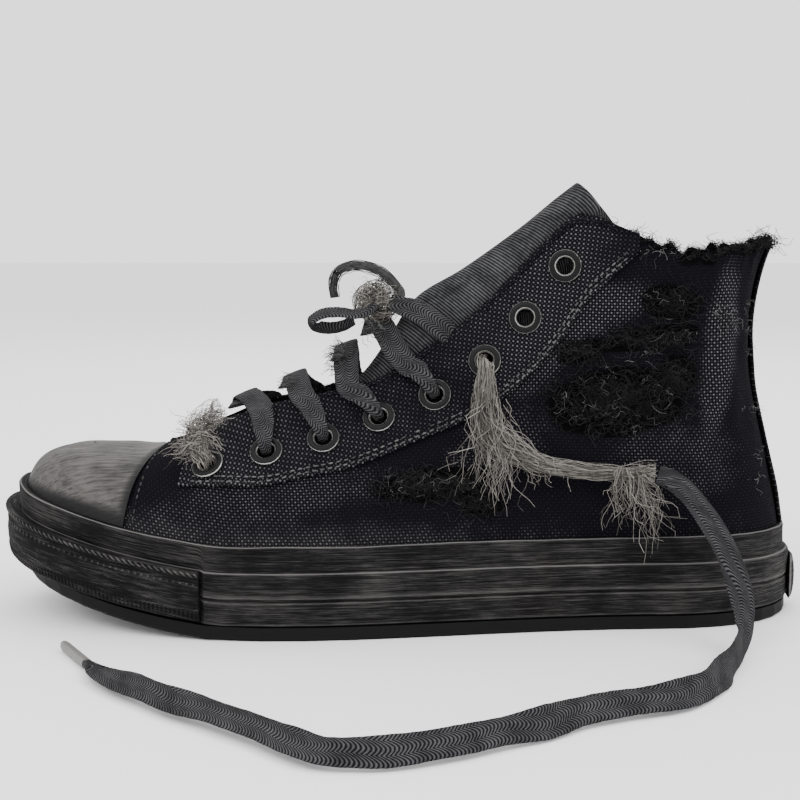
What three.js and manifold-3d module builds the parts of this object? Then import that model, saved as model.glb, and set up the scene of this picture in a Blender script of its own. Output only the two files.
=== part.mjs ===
// Worn-out high canvas sneaker, left foot.
// Millimetres, +Z up, toe towards -X, outer side towards -Y, standing on its outsole at z = 0.
// A place on the shoe is given by t, the way round the last: 0 at the toe tip, 1 at the heel,
// the outer side between 0 and 1 and the inner side between 1 and 2, or between 0 and -1.
import * as THREE from 'three';
import { mergeVertices } from 'three/addons/utils/BufferGeometryUtils.js';
import Module from 'manifold-3d';

const wasm = await Module();
wasm.setup();

// Main sizes of the last and the sole
const LENGTH = 298;
const BALL_WIDTH = 107;
const HEEL_WIDTH = 76;
const TOE_SPRING = 16.8;
const SPRING_FROM = 0.29;
const SPRING_POWER = 1.35;
const TOE_SWING = 8;
const TOE_HEIGHT = 52;
const FRONT_HEIGHT = 149.5;
const COLLAR_HEIGHT = 135.5;
const COLLAR_WIDTH = 58;

// Walls, bands and clearances
const CANVAS = 1.8;
const CLEARANCE = 0.3;
const OUTSOLE_THICK = 5;
const SOLE_TOP = 13.5;
const FOXING_HEIGHT = 33.5;
const LEDGE_HEIGHT = 24.6;
const LINE_HEIGHT = 14.4;
const FOXING_INSET = 5.2;
const LEDGE_STEP = 1.7;
const LINE_DEPTH = 0.9;
const VAMP_LAP = 2.2;
const CAP_EDGE = 0.262;
const CAP_THICK = 1.3;
const STAY_THICK = 0.9;
const STAY_EASE = 0.2;
const INSOLE_THICK = 4;
const THROAT_START = 0.3;
const STAY_START = 0.312;
const STAY_END = 0.75;

// Toe guard
const GUARD_REACH = 0.344;
const GUARD_BULGE = 2.6;
const GUARD_RECESS = 2.4;
const BEAD_HEIGHT = 23.5;
const BEAD_RADIUS = 1.5;

// Heel pieces
const STRIP_REACH = 0.039;
const PLATE_WIDTH = 27;
const PLATE_HEIGHT = 17.5;
const PLATE_FOOT = 4.2;
const PLATE_THICK = 2.2;

// Eyelets and laces
const EYELET_OUTER = 5.9;
const EYELET_HOLE = 3;
const BARREL_WALL = 0.6;
const FLANGE = 0.8;
const EYELET_EASE = 0.5;
const LACE_WIDTH = 8.5;
const LACE_THICK = 1.2;
const LONG_LACE_WIDTH = 9.5;
const LONG_LACE_THICK = 1.8;
const TIP_LENGTH = 24;
const TIP_DIAMETER = 3.4;
const FRAYED_LACE = 4.6;
const THIN_LOOP = 3.6;
const TONGUE_THICK = 2.4;

// How finely the curved faces are cut
const SIDE_STEPS = 28;
const WALL_STEPS = 7;
const SMALLEST_DETAIL = 0.02;
const EYELET_SIDES = 7;
const EYELET_TURN = 0.45;

// Outline of the sole seen from above, with each half width as a share of the width there
const OUTLINE = [
  { along: 0.00, outer: -0.075, inner: 0.075 },
  { along: 0.05, outer: 0.060, inner: 0.185 },
  { along: 0.10, outer: 0.180, inner: 0.274 },
  { along: 0.15, outer: 0.274, inner: 0.340 },
  { along: 0.20, outer: 0.349, inner: 0.396 },
  { along: 0.25, outer: 0.410, inner: 0.439 },
  { along: 0.30, outer: 0.453, inner: 0.476 },
  { along: 0.35, outer: 0.486, inner: 0.500 },
  { along: 0.40, outer: 0.503, inner: 0.492 },
  { along: 0.45, outer: 0.512, inner: 0.477 },
  { along: 0.50, outer: 0.514, inner: 0.456 },
  { along: 0.55, outer: 0.514, inner: 0.446 },
  { along: 0.60, outer: 0.512, inner: 0.451 },
  { along: 0.65, outer: 0.508, inner: 0.466 },
  { along: 0.70, outer: 0.500, inner: 0.484 },
  { along: 0.75, outer: 0.487, inner: 0.487 },
  { along: 0.80, outer: 0.441, inner: 0.447 },
  { along: 0.85, outer: 0.368, inner: 0.375 },
  { along: 0.90, outer: 0.263, inner: 0.270 },
  { along: 0.95, outer: 0.138, inner: 0.145 },
  { along: 1.00, outer: 0.000, inner: 0.000 },
];

// Wall of the upper, one row for each section from toe to heel. topAt is the place of the top
// edge as a share of the length, gap the half opening as a share of the collar width, climb the
// rise from toe height to front height and fall the way from front to collar height. The wall
// leaves the sole leaning out by lowOut over lowRise of its height, and comes to its edge from
// highOut outside it over highDrop of the height.
const SECTIONS = [
  { along: 0.00, topAt: 0.111, gap: 0.000, climb: 0.001, fall: 0.000, lowRise: 0.80, lowOut: 0.5, highDrop: 0.00, highOut: 24 },
  { along: 0.10, topAt: 0.121, gap: 0.000, climb: 0.009, fall: 0.000, lowRise: 0.80, lowOut: 0.5, highDrop: 0.00, highOut: 25 },
  { along: 0.15, topAt: 0.138, gap: 0.000, climb: 0.021, fall: 0.000, lowRise: 0.78, lowOut: 0.6, highDrop: 0.00, highOut: 26 },
  { along: 0.20, topAt: 0.164, gap: 0.000, climb: 0.036, fall: 0.000, lowRise: 0.74, lowOut: 0.8, highDrop: 0.00, highOut: 27 },
  { along: 0.25, topAt: 0.195, gap: 0.000, climb: 0.049, fall: 0.000, lowRise: 0.66, lowOut: 1.0, highDrop: 0.00, highOut: 28 },
  { along: 0.30, topAt: 0.235, gap: 0.000, climb: 0.110, fall: 0.000, lowRise: 0.60, lowOut: 1.0, highDrop: 0.03, highOut: 26 },
  { along: 0.35, topAt: 0.326, gap: 0.155, climb: 0.250, fall: 0.000, lowRise: 0.52, lowOut: 1.5, highDrop: 0.14, highOut: 17 },
  { along: 0.40, topAt: 0.396, gap: 0.215, climb: 0.308, fall: 0.000, lowRise: 0.46, lowOut: 1.5, highDrop: 0.20, highOut: 14 },
  { along: 0.45, topAt: 0.466, gap: 0.250, climb: 0.364, fall: 0.000, lowRise: 0.40, lowOut: 1.5, highDrop: 0.22, highOut: 12 },
  { along: 0.50, topAt: 0.534, gap: 0.260, climb: 0.492, fall: 0.000, lowRise: 0.34, lowOut: 1.0, highDrop: 0.24, highOut: 9 },
  { along: 0.55, topAt: 0.594, gap: 0.267, climb: 0.631, fall: 0.000, lowRise: 0.32, lowOut: 0.5, highDrop: 0.27, highOut: 7 },
  { along: 0.60, topAt: 0.644, gap: 0.276, climb: 0.787, fall: 0.000, lowRise: 0.30, lowOut: 0.0, highDrop: 0.28, highOut: 5 },
  { along: 0.65, topAt: 0.681, gap: 0.300, climb: 0.908, fall: 0.000, lowRise: 0.30, lowOut: 0.0, highDrop: 0.30, highOut: 3.5 },
  { along: 0.70, topAt: 0.722, gap: 0.345, climb: 1.000, fall: 0.000, lowRise: 0.30, lowOut: 0.5, highDrop: 0.32, highOut: 1 },
  { along: 0.75, topAt: 0.789, gap: 0.440, climb: 1.000, fall: 0.500, lowRise: 0.30, lowOut: 1.5, highDrop: 0.32, highOut: -1.5 },
  { along: 0.80, topAt: 0.852, gap: 0.491, climb: 1.000, fall: 1.014, lowRise: 0.28, lowOut: 3.0, highDrop: 0.33, highOut: -4 },
  { along: 0.85, topAt: 0.899, gap: 0.448, climb: 1.000, fall: 0.857, lowRise: 0.27, lowOut: 4.5, highDrop: 0.35, highOut: -8 },
  { along: 0.90, topAt: 0.936, gap: 0.328, climb: 1.000, fall: 0.779, lowRise: 0.26, lowOut: 6.0, highDrop: 0.36, highOut: -14 },
  { along: 0.95, topAt: 0.956, gap: 0.172, climb: 1.000, fall: 0.714, lowRise: 0.26, lowOut: 8.0, highDrop: 0.37, highOut: -19 },
  { along: 1.00, topAt: 0.968, gap: 0.000, climb: 1.000, fall: 0.700, lowRise: 0.26, lowOut: 10.0, highDrop: 0.38, highOut: -22 },
];

// Seam of the eyestay, from the toe end of the throat to the collar, as its rise up the wall
const EYESTAY = [
  { along: 0.312, rise: 0.49 },
  { along: 0.344, rise: 0.47 },
  { along: 0.375, rise: 0.47 },
  { along: 0.406, rise: 0.51 },
  { along: 0.438, rise: 0.54 },
  { along: 0.469, rise: 0.57 },
  { along: 0.500, rise: 0.59 },
  { along: 0.531, rise: 0.60 },
  { along: 0.563, rise: 0.61 },
  { along: 0.594, rise: 0.63 },
  { along: 0.625, rise: 0.66 },
  { along: 0.656, rise: 0.70 },
  { along: 0.688, rise: 0.75 },
  { along: 0.719, rise: 0.83 },
  { along: 0.750, rise: 0.95 },
];

// Eyelets from the toe to the collar: place along the side and rise up the wall
const EYELETS = [
  { along: 0.330, rise: 0.59 },
  { along: 0.370, rise: 0.64 },
  { along: 0.415, rise: 0.70 },
  { along: 0.460, rise: 0.76 },
  { along: 0.510, rise: 0.75 },
  { along: 0.560, rise: 0.78 },
  { along: 0.610, rise: 0.82 },
  { along: 0.675, rise: 0.88 },
];

// Tongue, from its seam under the vamp to its free end: the ridge's place along the shoe and its
// height, the half width and depth of its crown, and the half width and depth of its sides, all
// as shares of length, front height, collar width and collar width
const TONGUE = [
  { at: 0.205, height: 0.383, crown: 0.172, depth: 0.017, side: 0.310, fall: 0.069 },
  { at: 0.278, height: 0.430, crown: 0.172, depth: 0.034, side: 0.410, fall: 0.145 },
  { at: 0.326, height: 0.464, crown: 0.200, depth: 0.052, side: 0.430, fall: 0.200 },
  { at: 0.396, height: 0.508, crown: 0.215, depth: 0.080, side: 0.460, fall: 0.260 },
  { at: 0.450, height: 0.588, crown: 0.205, depth: 0.150, side: 0.420, fall: 0.340 },
  { at: 0.488, height: 0.688, crown: 0.205, depth: 0.245, side: 0.330, fall: 0.360 },
  { at: 0.523, height: 0.790, crown: 0.205, depth: 0.340, side: 0.295, fall: 0.330 },
  { at: 0.583, height: 0.864, crown: 0.210, depth: 0.330, side: 0.270, fall: 0.310 },
  { at: 0.651, height: 0.961, crown: 0.220, depth: 0.250, side: 0.260, fall: 0.290 },
  { at: 0.695, height: 1.033, crown: 0.235, depth: 0.210, side: 0.260, fall: 0.240 },
  { at: 0.723, height: 1.078, crown: 0.245, depth: 0.190, side: 0.262, fall: 0.200 },
];

// Lace crossings: the eyelet that each starts from, the place where it passes over the throat
// edge, its top on the middle line and where its end tucks in beyond it, in millimetres
const CROSSINGS = [
  { eyelet: 1, edge: 0.350, top: [-59, 81.5], tuck: [-60, 79] },
  { eyelet: 2, edge: 0.388, top: [-40, 89], tuck: [-41, 86.5] },
  { eyelet: 3, edge: 0.430, top: [-20.5, 100], tuck: [-21, 97] },
  { eyelet: 4, edge: 0.480, top: [-8.5, 109.5], tuck: [-10, 106.5] },
];

// Routes of the loose cords, in millimetres, chosen by hand along what carries them. The side
// lace and the tuft come out of an eyelet first.
const SIDE_LACE = [
  [31.2, -29.8, 94.6], [30.9, -31.0, 88.0], [30.6, -32.0, 80.7], [32.2, -33.4, 73.9], [37.1, -34.8, 68.2],
  [42.7, -35.4, 65.0], [48.4, -36.0, 61.4], [54.0, -35.9, 59.6], [59.5, -35.7, 58.8], [67.1, -35.4, 57.9],
  [74.4, -35.2, 57.4], [81.0, -35.2, 57.0], [87.2, -35.4, 57.2], [91.6, -36.2, 57.0],
];
const LONG_LACE = [
  [92.5, -36.6, 56.7], [96.4, -38.2, 55.6], [101.2, -41.9, 52.2], [106.4, -46.4, 45.8], [111.3, -50.8, 37.8],
  [114.9, -55.0, 29.7], [117.6, -59.5, 19.6], [118.0, -63.5, 11.6], [116.0, -70.0, 6.0], [107.3, -89.8, 4.6],
  [96.6, -110.0, 4.6], [87.9, -118.5, 4.6], [78.4, -124.3, 4.6], [65.0, -129.5, 4.6], [51.8, -136.5, 4.6],
  [39.9, -145.9, 4.6], [24.1, -154.6, 4.6], [9.2, -162.3, 4.6], [-1.9, -166.6, 4.6], [-11.5, -168.0, 4.6],
  [-21.2, -166.4, 4.6], [-31.0, -157.9, 4.6], [-40.8, -148.4, 4.6], [-54.6, -136.3, 4.6], [-65.1, -128.2, 4.6],
  [-74.7, -119.8, 4.6], [-83.9, -110.5, 4.5], [-94.0, -98.0, 3.4], [-103.0, -83.5, 2.4],
];
const KNOT = [
  [-2.0, -6.0, 117.0], [-5.0, -4.0, 114.2], [-8.5, 0.0, 111.65], [-12.0, 4.0, 114.2], [-13.5, 5.0, 117.5],
  [-10.0, 3.0, 120.5], [-6.5, -1.0, 121.0], [-5.5, -5.5, 119.5], [-8.5, -7.5, 116.5],
];
const BOW_LOOP = [
  [-8.8, -7.7, 116.2], [-11.8, -9.5, 114.0], [-16.4, -11.6, 113.0], [-22.4, -13.2, 113.8], [-28.4, -13.6, 113.4],
  [-32.4, -12.0, 111.0], [-31.4, -9.4, 108.6], [-26.6, -7.6, 107.6], [-21.4, -6.4, 108.4], [-17.4, -5.0, 110.4],
];
const THIN_ARCH = [
  [-1.1, -6.6, 117.9], [0.2, -6.6, 121.0], [-3.0, -3.8, 125.2], [-8.3, -1.4, 129.1], [-15.9, 0.8, 131.0],
  [-22.4, 2.0, 129.4], [-25.4, 2.5, 124.5], [-24.8, 2.5, 118.5],
];
const TOE_TUFT = [
  [-72.6, -32.0, 64.6], [-74.6, -28.6, 68.0], [-74.6, -24.0, 71.4], [-72.4, -19.4, 74.2], [-69.2, -15.6, 76.6],
  [-66.4, -12.6, 78.4],
];

// Value of a table's column at a place along it, by a smooth curve through the rows
function column(table, key, name, place) {
  const last = table.length - 1;
  if (place <= table[0][key]) return table[0][name];
  if (place >= table[last][key]) return table[last][name];
  let i = 0;
  while (place > table[i + 1][key]) i += 1;
  const slope = (k) => {
    const a = table[Math.max(0, k - 1)];
    const b = table[Math.min(last, k + 1)];
    return (b[name] - a[name]) / (b[key] - a[key]);
  };
  const span = table[i + 1][key] - table[i][key];
  const u = (place - table[i][key]) / span;
  const u2 = u * u;
  const u3 = u2 * u;
  return (2 * u3 - 3 * u2 + 1) * table[i][name] + (u3 - 2 * u2 + u) * span * slope(i)
    + (3 * u2 - 2 * u3) * table[i + 1][name] + (u3 - u2) * span * slope(i + 1);
}

function smooth(from, to, value) {
  const u = Math.min(1, Math.max(0, (value - from) / (to - from)));
  return u * u * (3 - 2 * u);
}

// Place along the side, 0 to 1, of a way round t
function sidePlace(t) {
  const way = ((t % 2) + 2) % 2;
  return way <= 1 ? way : 2 - way;
}

function isOuter(t) {
  return ((t % 2) + 2) % 2 <= 1;
}

// Point of the sole's outline, in plan
function planPoint(t) {
  const place = sidePlace(t);
  const share = (1 - Math.cos(Math.PI * place)) / 2;
  const width = BALL_WIDTH + (HEEL_WIDTH - BALL_WIDTH) * smooth(0.3, 0.8, share);
  const outer = isOuter(t);
  const y = column(OUTLINE, 'along', outer ? 'outer' : 'inner', place) * width;
  return new THREE.Vector2((share - 0.5) * LENGTH, outer ? -y : y);
}

function planNormal(t) {
  const step = 1e-3;
  const way = planPoint(t + step).sub(planPoint(t - step)).normalize();
  return new THREE.Vector2(way.y, -way.x);
}

// Rise of the whole shoe off the floor at a length, the toe spring
function lift(x) {
  const share = x / LENGTH + 0.5;
  if (share >= SPRING_FROM) return 0;
  return TOE_SPRING * ((SPRING_FROM - share) / SPRING_FROM) ** SPRING_POWER;
}

// Point at a distance out from the sole's outline and a height over the sole's underside
function solePoint(t, out, height) {
  const p = planPoint(t).addScaledVector(planNormal(t), out);
  return new THREE.Vector3(p.x, p.y, height + lift(p.x));
}

// Plain face of the upper, from the sole (rise 0) to the top edge (rise 1)
function lastPoint(t, rise) {
  const place = sidePlace(t);
  const side = isOuter(t) ? -1 : 1;
  const value = (name) => column(SECTIONS, 'along', name, place);
  const gap = place < THROAT_START ? 0 : Math.max(0, value('gap'));
  const foot = solePoint(t, -FOXING_INSET, SOLE_TOP);
  const x = (value('topAt') - 0.5) * LENGTH;
  const swing = TOE_SWING * Math.max(0, 1 - value('topAt') / 0.4) ** 2;
  const height = TOE_HEIGHT + value('climb') * (FRONT_HEIGHT - TOE_HEIGHT)
    + value('fall') * (COLLAR_HEIGHT - FRONT_HEIGHT);
  const top = new THREE.Vector3(x, swing + side * gap * COLLAR_WIDTH, height + lift(x));
  const normal = planNormal(t);
  const out = new THREE.Vector3(normal.x, normal.y, 0);
  const wall = top.z - foot.z;
  const low = foot.clone().addScaledVector(out, value('lowOut'));
  low.z += value('lowRise') * wall;
  const high = top.clone().addScaledVector(out, value('highOut'));
  high.z -= value('highDrop') * wall;
  const rest = 1 - rise;
  return foot.multiplyScalar(rest ** 3)
    .addScaledVector(low, 3 * rest * rest * rise)
    .addScaledVector(high, 3 * rest * rise * rise)
    .addScaledVector(top, rise ** 3);
}

function onRidge(t, rise) {
  return rise > 0.999 && sidePlace(t) <= THROAT_START + 1e-6;
}

function lastNormal(t, rise) {
  if (onRidge(t, rise)) return new THREE.Vector3(0, 0, 1);
  const step = 2e-3;
  const around = lastPoint(t + step, rise).sub(lastPoint(t - step, rise));
  const lower = Math.max(0, rise - step);
  const upper = Math.min(1, rise + step);
  const up = lastPoint(t, upper).sub(lastPoint(t, lower));
  return around.cross(up).normalize();
}

// Point at a distance out from the plain face
function wallPoint(t, rise, out) {
  return lastPoint(t, rise).addScaledVector(lastNormal(t, rise), out);
}

// Outer face of the canvas: behind the toe cap it laps up over the cap's rear edge
function lapOver(t) {
  const place = sidePlace(t);
  if (place < CAP_EDGE + 0.004) return 0;
  return VAMP_LAP * (1 - smooth(CAP_EDGE + 0.01, 0.4, place));
}

// Rise up the wall at which it stands a height over the sole's underside
function riseAt(t, height) {
  let low = 0;
  let high = 1;
  for (let i = 0; i < 30; i += 1) {
    const middle = (low + high) / 2;
    const p = lastPoint(t, middle);
    if (p.z - lift(p.x) < height) low = middle;
    else high = middle;
  }
  return (low + high) / 2;
}

// Closed mesh from triangles of points, with shared corners merged
function closedGeometry(triangles) {
  const flat = [];
  for (const triangle of triangles) {
    for (const p of triangle) flat.push(p.x, p.y, p.z);
  }
  const loose = new THREE.BufferGeometry();
  loose.setAttribute('position', new THREE.Float32BufferAttribute(flat, 3));
  const merged = mergeVertices(loose, 1e-3);
  const index = merged.index.array;
  const kept = [];
  for (let i = 0; i < index.length; i += 3) {
    const [a, b, c] = [index[i], index[i + 1], index[i + 2]];
    if (a !== b && b !== c && c !== a) kept.push(a, b, c);
  }
  merged.setIndex(kept);
  return merged;
}

function quad(list, a, b, c, d) {
  list.push([a, b, c], [a, c, d]);
}

// Wall between an outer and an inner face, each a grid of points, rows round and columns up.
// Faces point outwards when rows run towards the heel on the outer side.
function wallTriangles(outer, inner, { loop = false, topEdge = () => true } = {}) {
  const list = [];
  const rows = outer.length - (loop ? 0 : 1);
  const top = outer[0].length - 1;
  for (let i = 0; i < rows; i += 1) {
    const n = (i + 1) % outer.length;
    for (let j = 0; j < top; j += 1) {
      quad(list, outer[i][j], outer[n][j], outer[n][j + 1], outer[i][j + 1]);
      quad(list, inner[i][j], inner[i][j + 1], inner[n][j + 1], inner[n][j]);
    }
    quad(list, inner[i][0], inner[n][0], outer[n][0], outer[i][0]);
    if (topEdge(i)) quad(list, outer[i][top], outer[n][top], inner[n][top], inner[i][top]);
  }
  if (!loop) {
    const end = outer.length - 1;
    for (let j = 0; j < top; j += 1) {
      quad(list, inner[0][j], outer[0][j], outer[0][j + 1], inner[0][j + 1]);
      quad(list, outer[end][j], inner[end][j], inner[end][j + 1], outer[end][j + 1]);
    }
  }
  return list;
}

// Body swept through closed sections of equal point count, its ends closed by fans
function sweptTriangles(sections) {
  const list = [];
  const count = sections[0].length;
  for (let i = 0; i < sections.length - 1; i += 1) {
    for (let k = 0; k < count; k += 1) {
      const m = (k + 1) % count;
      quad(list, sections[i][k], sections[i][m], sections[i + 1][m], sections[i + 1][k]);
    }
  }
  const fan = (section, flip) => {
    const middle = new THREE.Vector3();
    for (const p of section) middle.addScaledVector(p, 1 / count);
    for (let k = 0; k < count; k += 1) {
      const m = (k + 1) % count;
      if (flip) list.push([middle, section[m], section[k]]);
      else list.push([middle, section[k], section[m]]);
    }
  };
  fan(sections[0], true);
  fan(sections[sections.length - 1], false);
  return list;
}

// Turns a body the right way out if its triangles run backwards
function outward(triangles) {
  let volume = 0;
  for (const [a, b, c] of triangles) volume += a.dot(b.clone().cross(c));
  if (volume >= 0) return triangles;
  return triangles.map(([a, b, c]) => [a, c, b]);
}

// Copy of a geometry with its seams joined
function joined(geometry) {
  const plain = new THREE.BufferGeometry();
  plain.setAttribute('position', geometry.getAttribute('position').clone());
  if (geometry.index) plain.setIndex(geometry.index.clone());
  return mergeVertices(plain, 1e-3);
}

function toSolid(geometry) {
  const merged = joined(geometry);
  return new wasm.Manifold(new wasm.Mesh({
    numProp: 3,
    vertProperties: Float32Array.from(merged.getAttribute('position').array),
    triVerts: Uint32Array.from(merged.index.array),
  }));
}

function fromSolid(solid) {
  const mesh = solid.simplify(SMALLEST_DETAIL).getMesh();
  const geometry = new THREE.BufferGeometry();
  geometry.setAttribute('position', new THREE.BufferAttribute(mesh.vertProperties, 3));
  geometry.setIndex(new THREE.BufferAttribute(mesh.triVerts, 1));
  return geometry;
}

// Ways round the last at which the walls have their columns
function sideWays(extra) {
  const places = [...extra];
  for (let i = 0; i <= SIDE_STEPS; i += 1) {
    const place = i / SIDE_STEPS;
    if (extra.every((e) => Math.abs(e - place) > 0.3 / SIDE_STEPS)) places.push(place);
  }
  places.sort((a, b) => a - b);
  const back = places.filter((p) => p > 0 && p < 1).map((p) => 2 - p).reverse();
  return [...places, ...back];
}

const ways = sideWays([
  CAP_EDGE, CAP_EDGE + 0.006, THROAT_START, STAY_START, GUARD_REACH, GUARD_REACH + 0.004,
]);

// Places t of the columns between two places on one side, towards growing t
function columnsOn(sign, from, to) {
  return ways
    .filter((t) => sidePlace(t) > from - 1e-6 && sidePlace(t) < to + 1e-6)
    .filter((t) => isOuter(t) === (sign > 0));
}

// Face at a distance out from the canvas, on the same columns and rows as the canvas itself
function overCanvas(columns, firstRow, out) {
  return columns.map((t) => {
    const points = [];
    for (let j = firstRow; j <= WALL_STEPS; j += 1) {
      points.push(wallPoint(t, j / WALL_STEPS, lapOver(t) + out));
    }
    return points;
  });
}

// Sheet laid on the canvas, a clearance off it
function laidSheet(columns, firstRow, under, thick, options) {
  const outer = overCanvas(columns, firstRow, under + thick);
  const inner = overCanvas(columns, firstRow, under);
  return toSolid(closedGeometry(outward(wallTriangles(outer, inner, options))));
}

// Everything near the shoe up to a height over the sole's underside
function sunkBlock(height) {
  const rings = ways.map((t) => [solePoint(t, 8, -20), solePoint(t, 8, height)]);
  const list = [];
  for (let i = 0; i < rings.length; i += 1) {
    const n = (i + 1) % rings.length;
    quad(list, rings[i][0], rings[n][0], rings[n][1], rings[i][1]);
  }
  list.push(...ringLid(rings.map((ring) => ring[1]), true));
  list.push(...ringLid(rings.map((ring) => ring[0]), false));
  return toSolid(closedGeometry(outward(list)));
}

// Eyelet places on both sides, with the wall's frame at each
function eyeletFrames() {
  const frames = [];
  for (const [side, sign] of [['outer', 1], ['inner', -1]]) {
    EYELETS.forEach((row, i) => {
      const t = sign * row.along;
      frames.push({
        name: `eyelet_${side}_${i + 1}`,
        point: wallPoint(t, row.rise, 0),
        normal: lastNormal(t, row.rise),
      });
    });
  }
  return frames;
}

// Moves a shape made about +Y so that its axis is the wall's normal at a point
function seated(geometry, point, normal) {
  const turn = new THREE.Quaternion().setFromUnitVectors(new THREE.Vector3(0, 1, 0), normal);
  return joined(geometry).applyQuaternion(turn).translate(point.x, point.y, point.z);
}

function withEyeletHoles(solid) {
  const sides = 6;
  const radius = (EYELET_HOLE + BARREL_WALL + CLEARANCE) / Math.cos(Math.PI / sides);
  const depth = 14;
  let cut = solid;
  for (const { point, normal } of eyeletFrames()) {
    const drill = new THREE.CylinderGeometry(radius, radius, depth, sides);
    cut = cut.subtract(toSolid(seated(drill, point, normal)));
  }
  return cut;
}

function makeUpper() {
  const outer = [];
  const inner = [];
  for (const t of ways) {
    const outerRow = [];
    const innerRow = [];
    for (let j = 0; j <= WALL_STEPS; j += 1) {
      const rise = j / WALL_STEPS;
      outerRow.push(wallPoint(t, rise, lapOver(t)));
      innerRow.push(wallPoint(t, rise, -CANVAS));
    }
    outer.push(outerRow);
    inner.push(innerRow);
  }
  const opened = (i) => {
    const next = (i + 1) % ways.length;
    return Math.max(sidePlace(ways[i]), sidePlace(ways[next])) > THROAT_START + 1e-6;
  };
  const wall = closedGeometry(wallTriangles(outer, inner, { loop: true, topEdge: opened }));
  return fromSolid(withEyeletHoles(toSolid(wall)));
}

// The toe cap lies on the plain face from the foxing to the canvas edge
function makeToeCap() {
  const inside = columnsOn(-1, 0, CAP_EDGE);
  const outside = columnsOn(1, 0, CAP_EDGE);
  const around = [...inside, ...outside].map((t) => {
    if (Math.abs(sidePlace(t) - CAP_EDGE) > 1e-6) return t;
    return isOuter(t) ? CAP_EDGE - 0.001 : 2 - CAP_EDGE + 0.001;
  });
  const dome = laidSheet(around, 2, CLEARANCE + 0.05, CAP_THICK, { topEdge: () => false });
  return fromSolid(dome.subtract(sunkBlock(FOXING_HEIGHT + 2 * CLEARANCE)));
}

// Band of cloth along the throat that carries the eyelets, from its seam to the throat edge
function makeEyestay(sign) {
  const columns = columnsOn(sign, STAY_START, STAY_END);
  const band = laidSheet(columns, 3, CLEARANCE + STAY_EASE, STAY_THICK);
  const outer = [];
  const inner = [];
  const steps = 14;
  for (let i = 0; i <= steps; i += 1) {
    const place = STAY_START - 0.02 + (STAY_END - STAY_START + 0.04) * (i / steps);
    const seam = column(EYESTAY, 'along', 'rise', place);
    const rises = [0.25, (0.25 + seam) / 2, seam];
    outer.push(rises.map((rise) => wallPoint(sign * place, rise, 9)));
    inner.push(rises.map((rise) => wallPoint(sign * place, rise, -3)));
  }
  const below = toSolid(closedGeometry(outward(wallTriangles(outer, inner))));
  return fromSolid(withEyeletHoles(band.subtract(below)));
}

// Height over the plain face at which an eyelet's flange sits
function eyeletSeat(place) {
  return lapOver(place) + CLEARANCE + STAY_EASE + STAY_THICK + EYELET_EASE;
}

// Metal eyelet: barrel through the wall with a rolled flange on the outside
function makeEyelet({ point, normal }, over) {
  const bottom = -CANVAS - 0.4;
  const outerRadius = EYELET_HOLE + BARREL_WALL;
  const seat = over + CLEARANCE;
  const dish = FLANGE * 0.15;
  const lip = FLANGE * 0.55;
  const profile = [
    new THREE.Vector2(EYELET_HOLE, bottom),
    new THREE.Vector2(outerRadius, bottom + dish),
    new THREE.Vector2(outerRadius, seat + dish),
    new THREE.Vector2(EYELET_OUTER, seat),
    new THREE.Vector2(outerRadius + BARREL_WALL, seat + FLANGE),
    new THREE.Vector2(EYELET_HOLE + BARREL_WALL * 0.65, seat + lip),
    new THREE.Vector2(EYELET_HOLE, bottom),
  ];
  const ring = new THREE.LatheGeometry(profile, EYELET_SIDES, EYELET_TURN);
  return fromSolid(toSolid(seated(ring, point, normal)));
}

// Profile of the sole's side, from its foot to the foxing's top, as distance out and height
function sideProfile(t) {
  const underGuard = sidePlace(t) <= GUARD_REACH + 1e-6;
  if (underGuard) {
    const back = -GUARD_RECESS;
    return [
      [back, OUTSOLE_THICK + CLEARANCE],
      [back, LINE_HEIGHT - 1],
      [back, LINE_HEIGHT],
      [back, LINE_HEIGHT + 1],
      [back, LEDGE_HEIGHT - 2],
      [back, LEDGE_HEIGHT],
      [-LEDGE_STEP - 0.3, LEDGE_HEIGHT + 1.4],
      [-LEDGE_STEP - 0.3, FOXING_HEIGHT - 1.2],
      [-LEDGE_STEP - 1.1, FOXING_HEIGHT],
    ];
  }
  return [
    [-1.2, OUTSOLE_THICK + CLEARANCE],
    [-0.1, LINE_HEIGHT - 1],
    [-LINE_DEPTH, LINE_HEIGHT],
    [-0.1, LINE_HEIGHT + 1],
    [0.2, LEDGE_HEIGHT - 1.2],
    [-0.3, LEDGE_HEIGHT],
    [-LEDGE_STEP, LEDGE_HEIGHT + 0.3],
    [-LEDGE_STEP - 0.3, FOXING_HEIGHT - 1.2],
    [-LEDGE_STEP - 1.1, FOXING_HEIGHT],
  ];
}

// Rungs across a closed ring of points whose outer and inner sides face each other
function ringLid(ring, upwards) {
  const list = [];
  const find = (t) => ring[ways.findIndex((w) => Math.abs(w - t) < 1e-9)];
  const places = ways.filter((t) => t <= 1);
  const pair = (place) => [find(place), place <= 0 || place >= 1 ? find(place) : find(2 - place)];
  for (let i = 0; i < places.length - 1; i += 1) {
    const [a, b] = pair(places[i]);
    const [d, c] = pair(places[i + 1]);
    const made = [];
    if (a !== b) made.push([a, d, b]);
    if (c !== d) made.push([b, d, c]);
    for (const [p, q, r] of made) list.push(upwards ? [p, q, r] : [p, r, q]);
  }
  return list;
}

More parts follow.
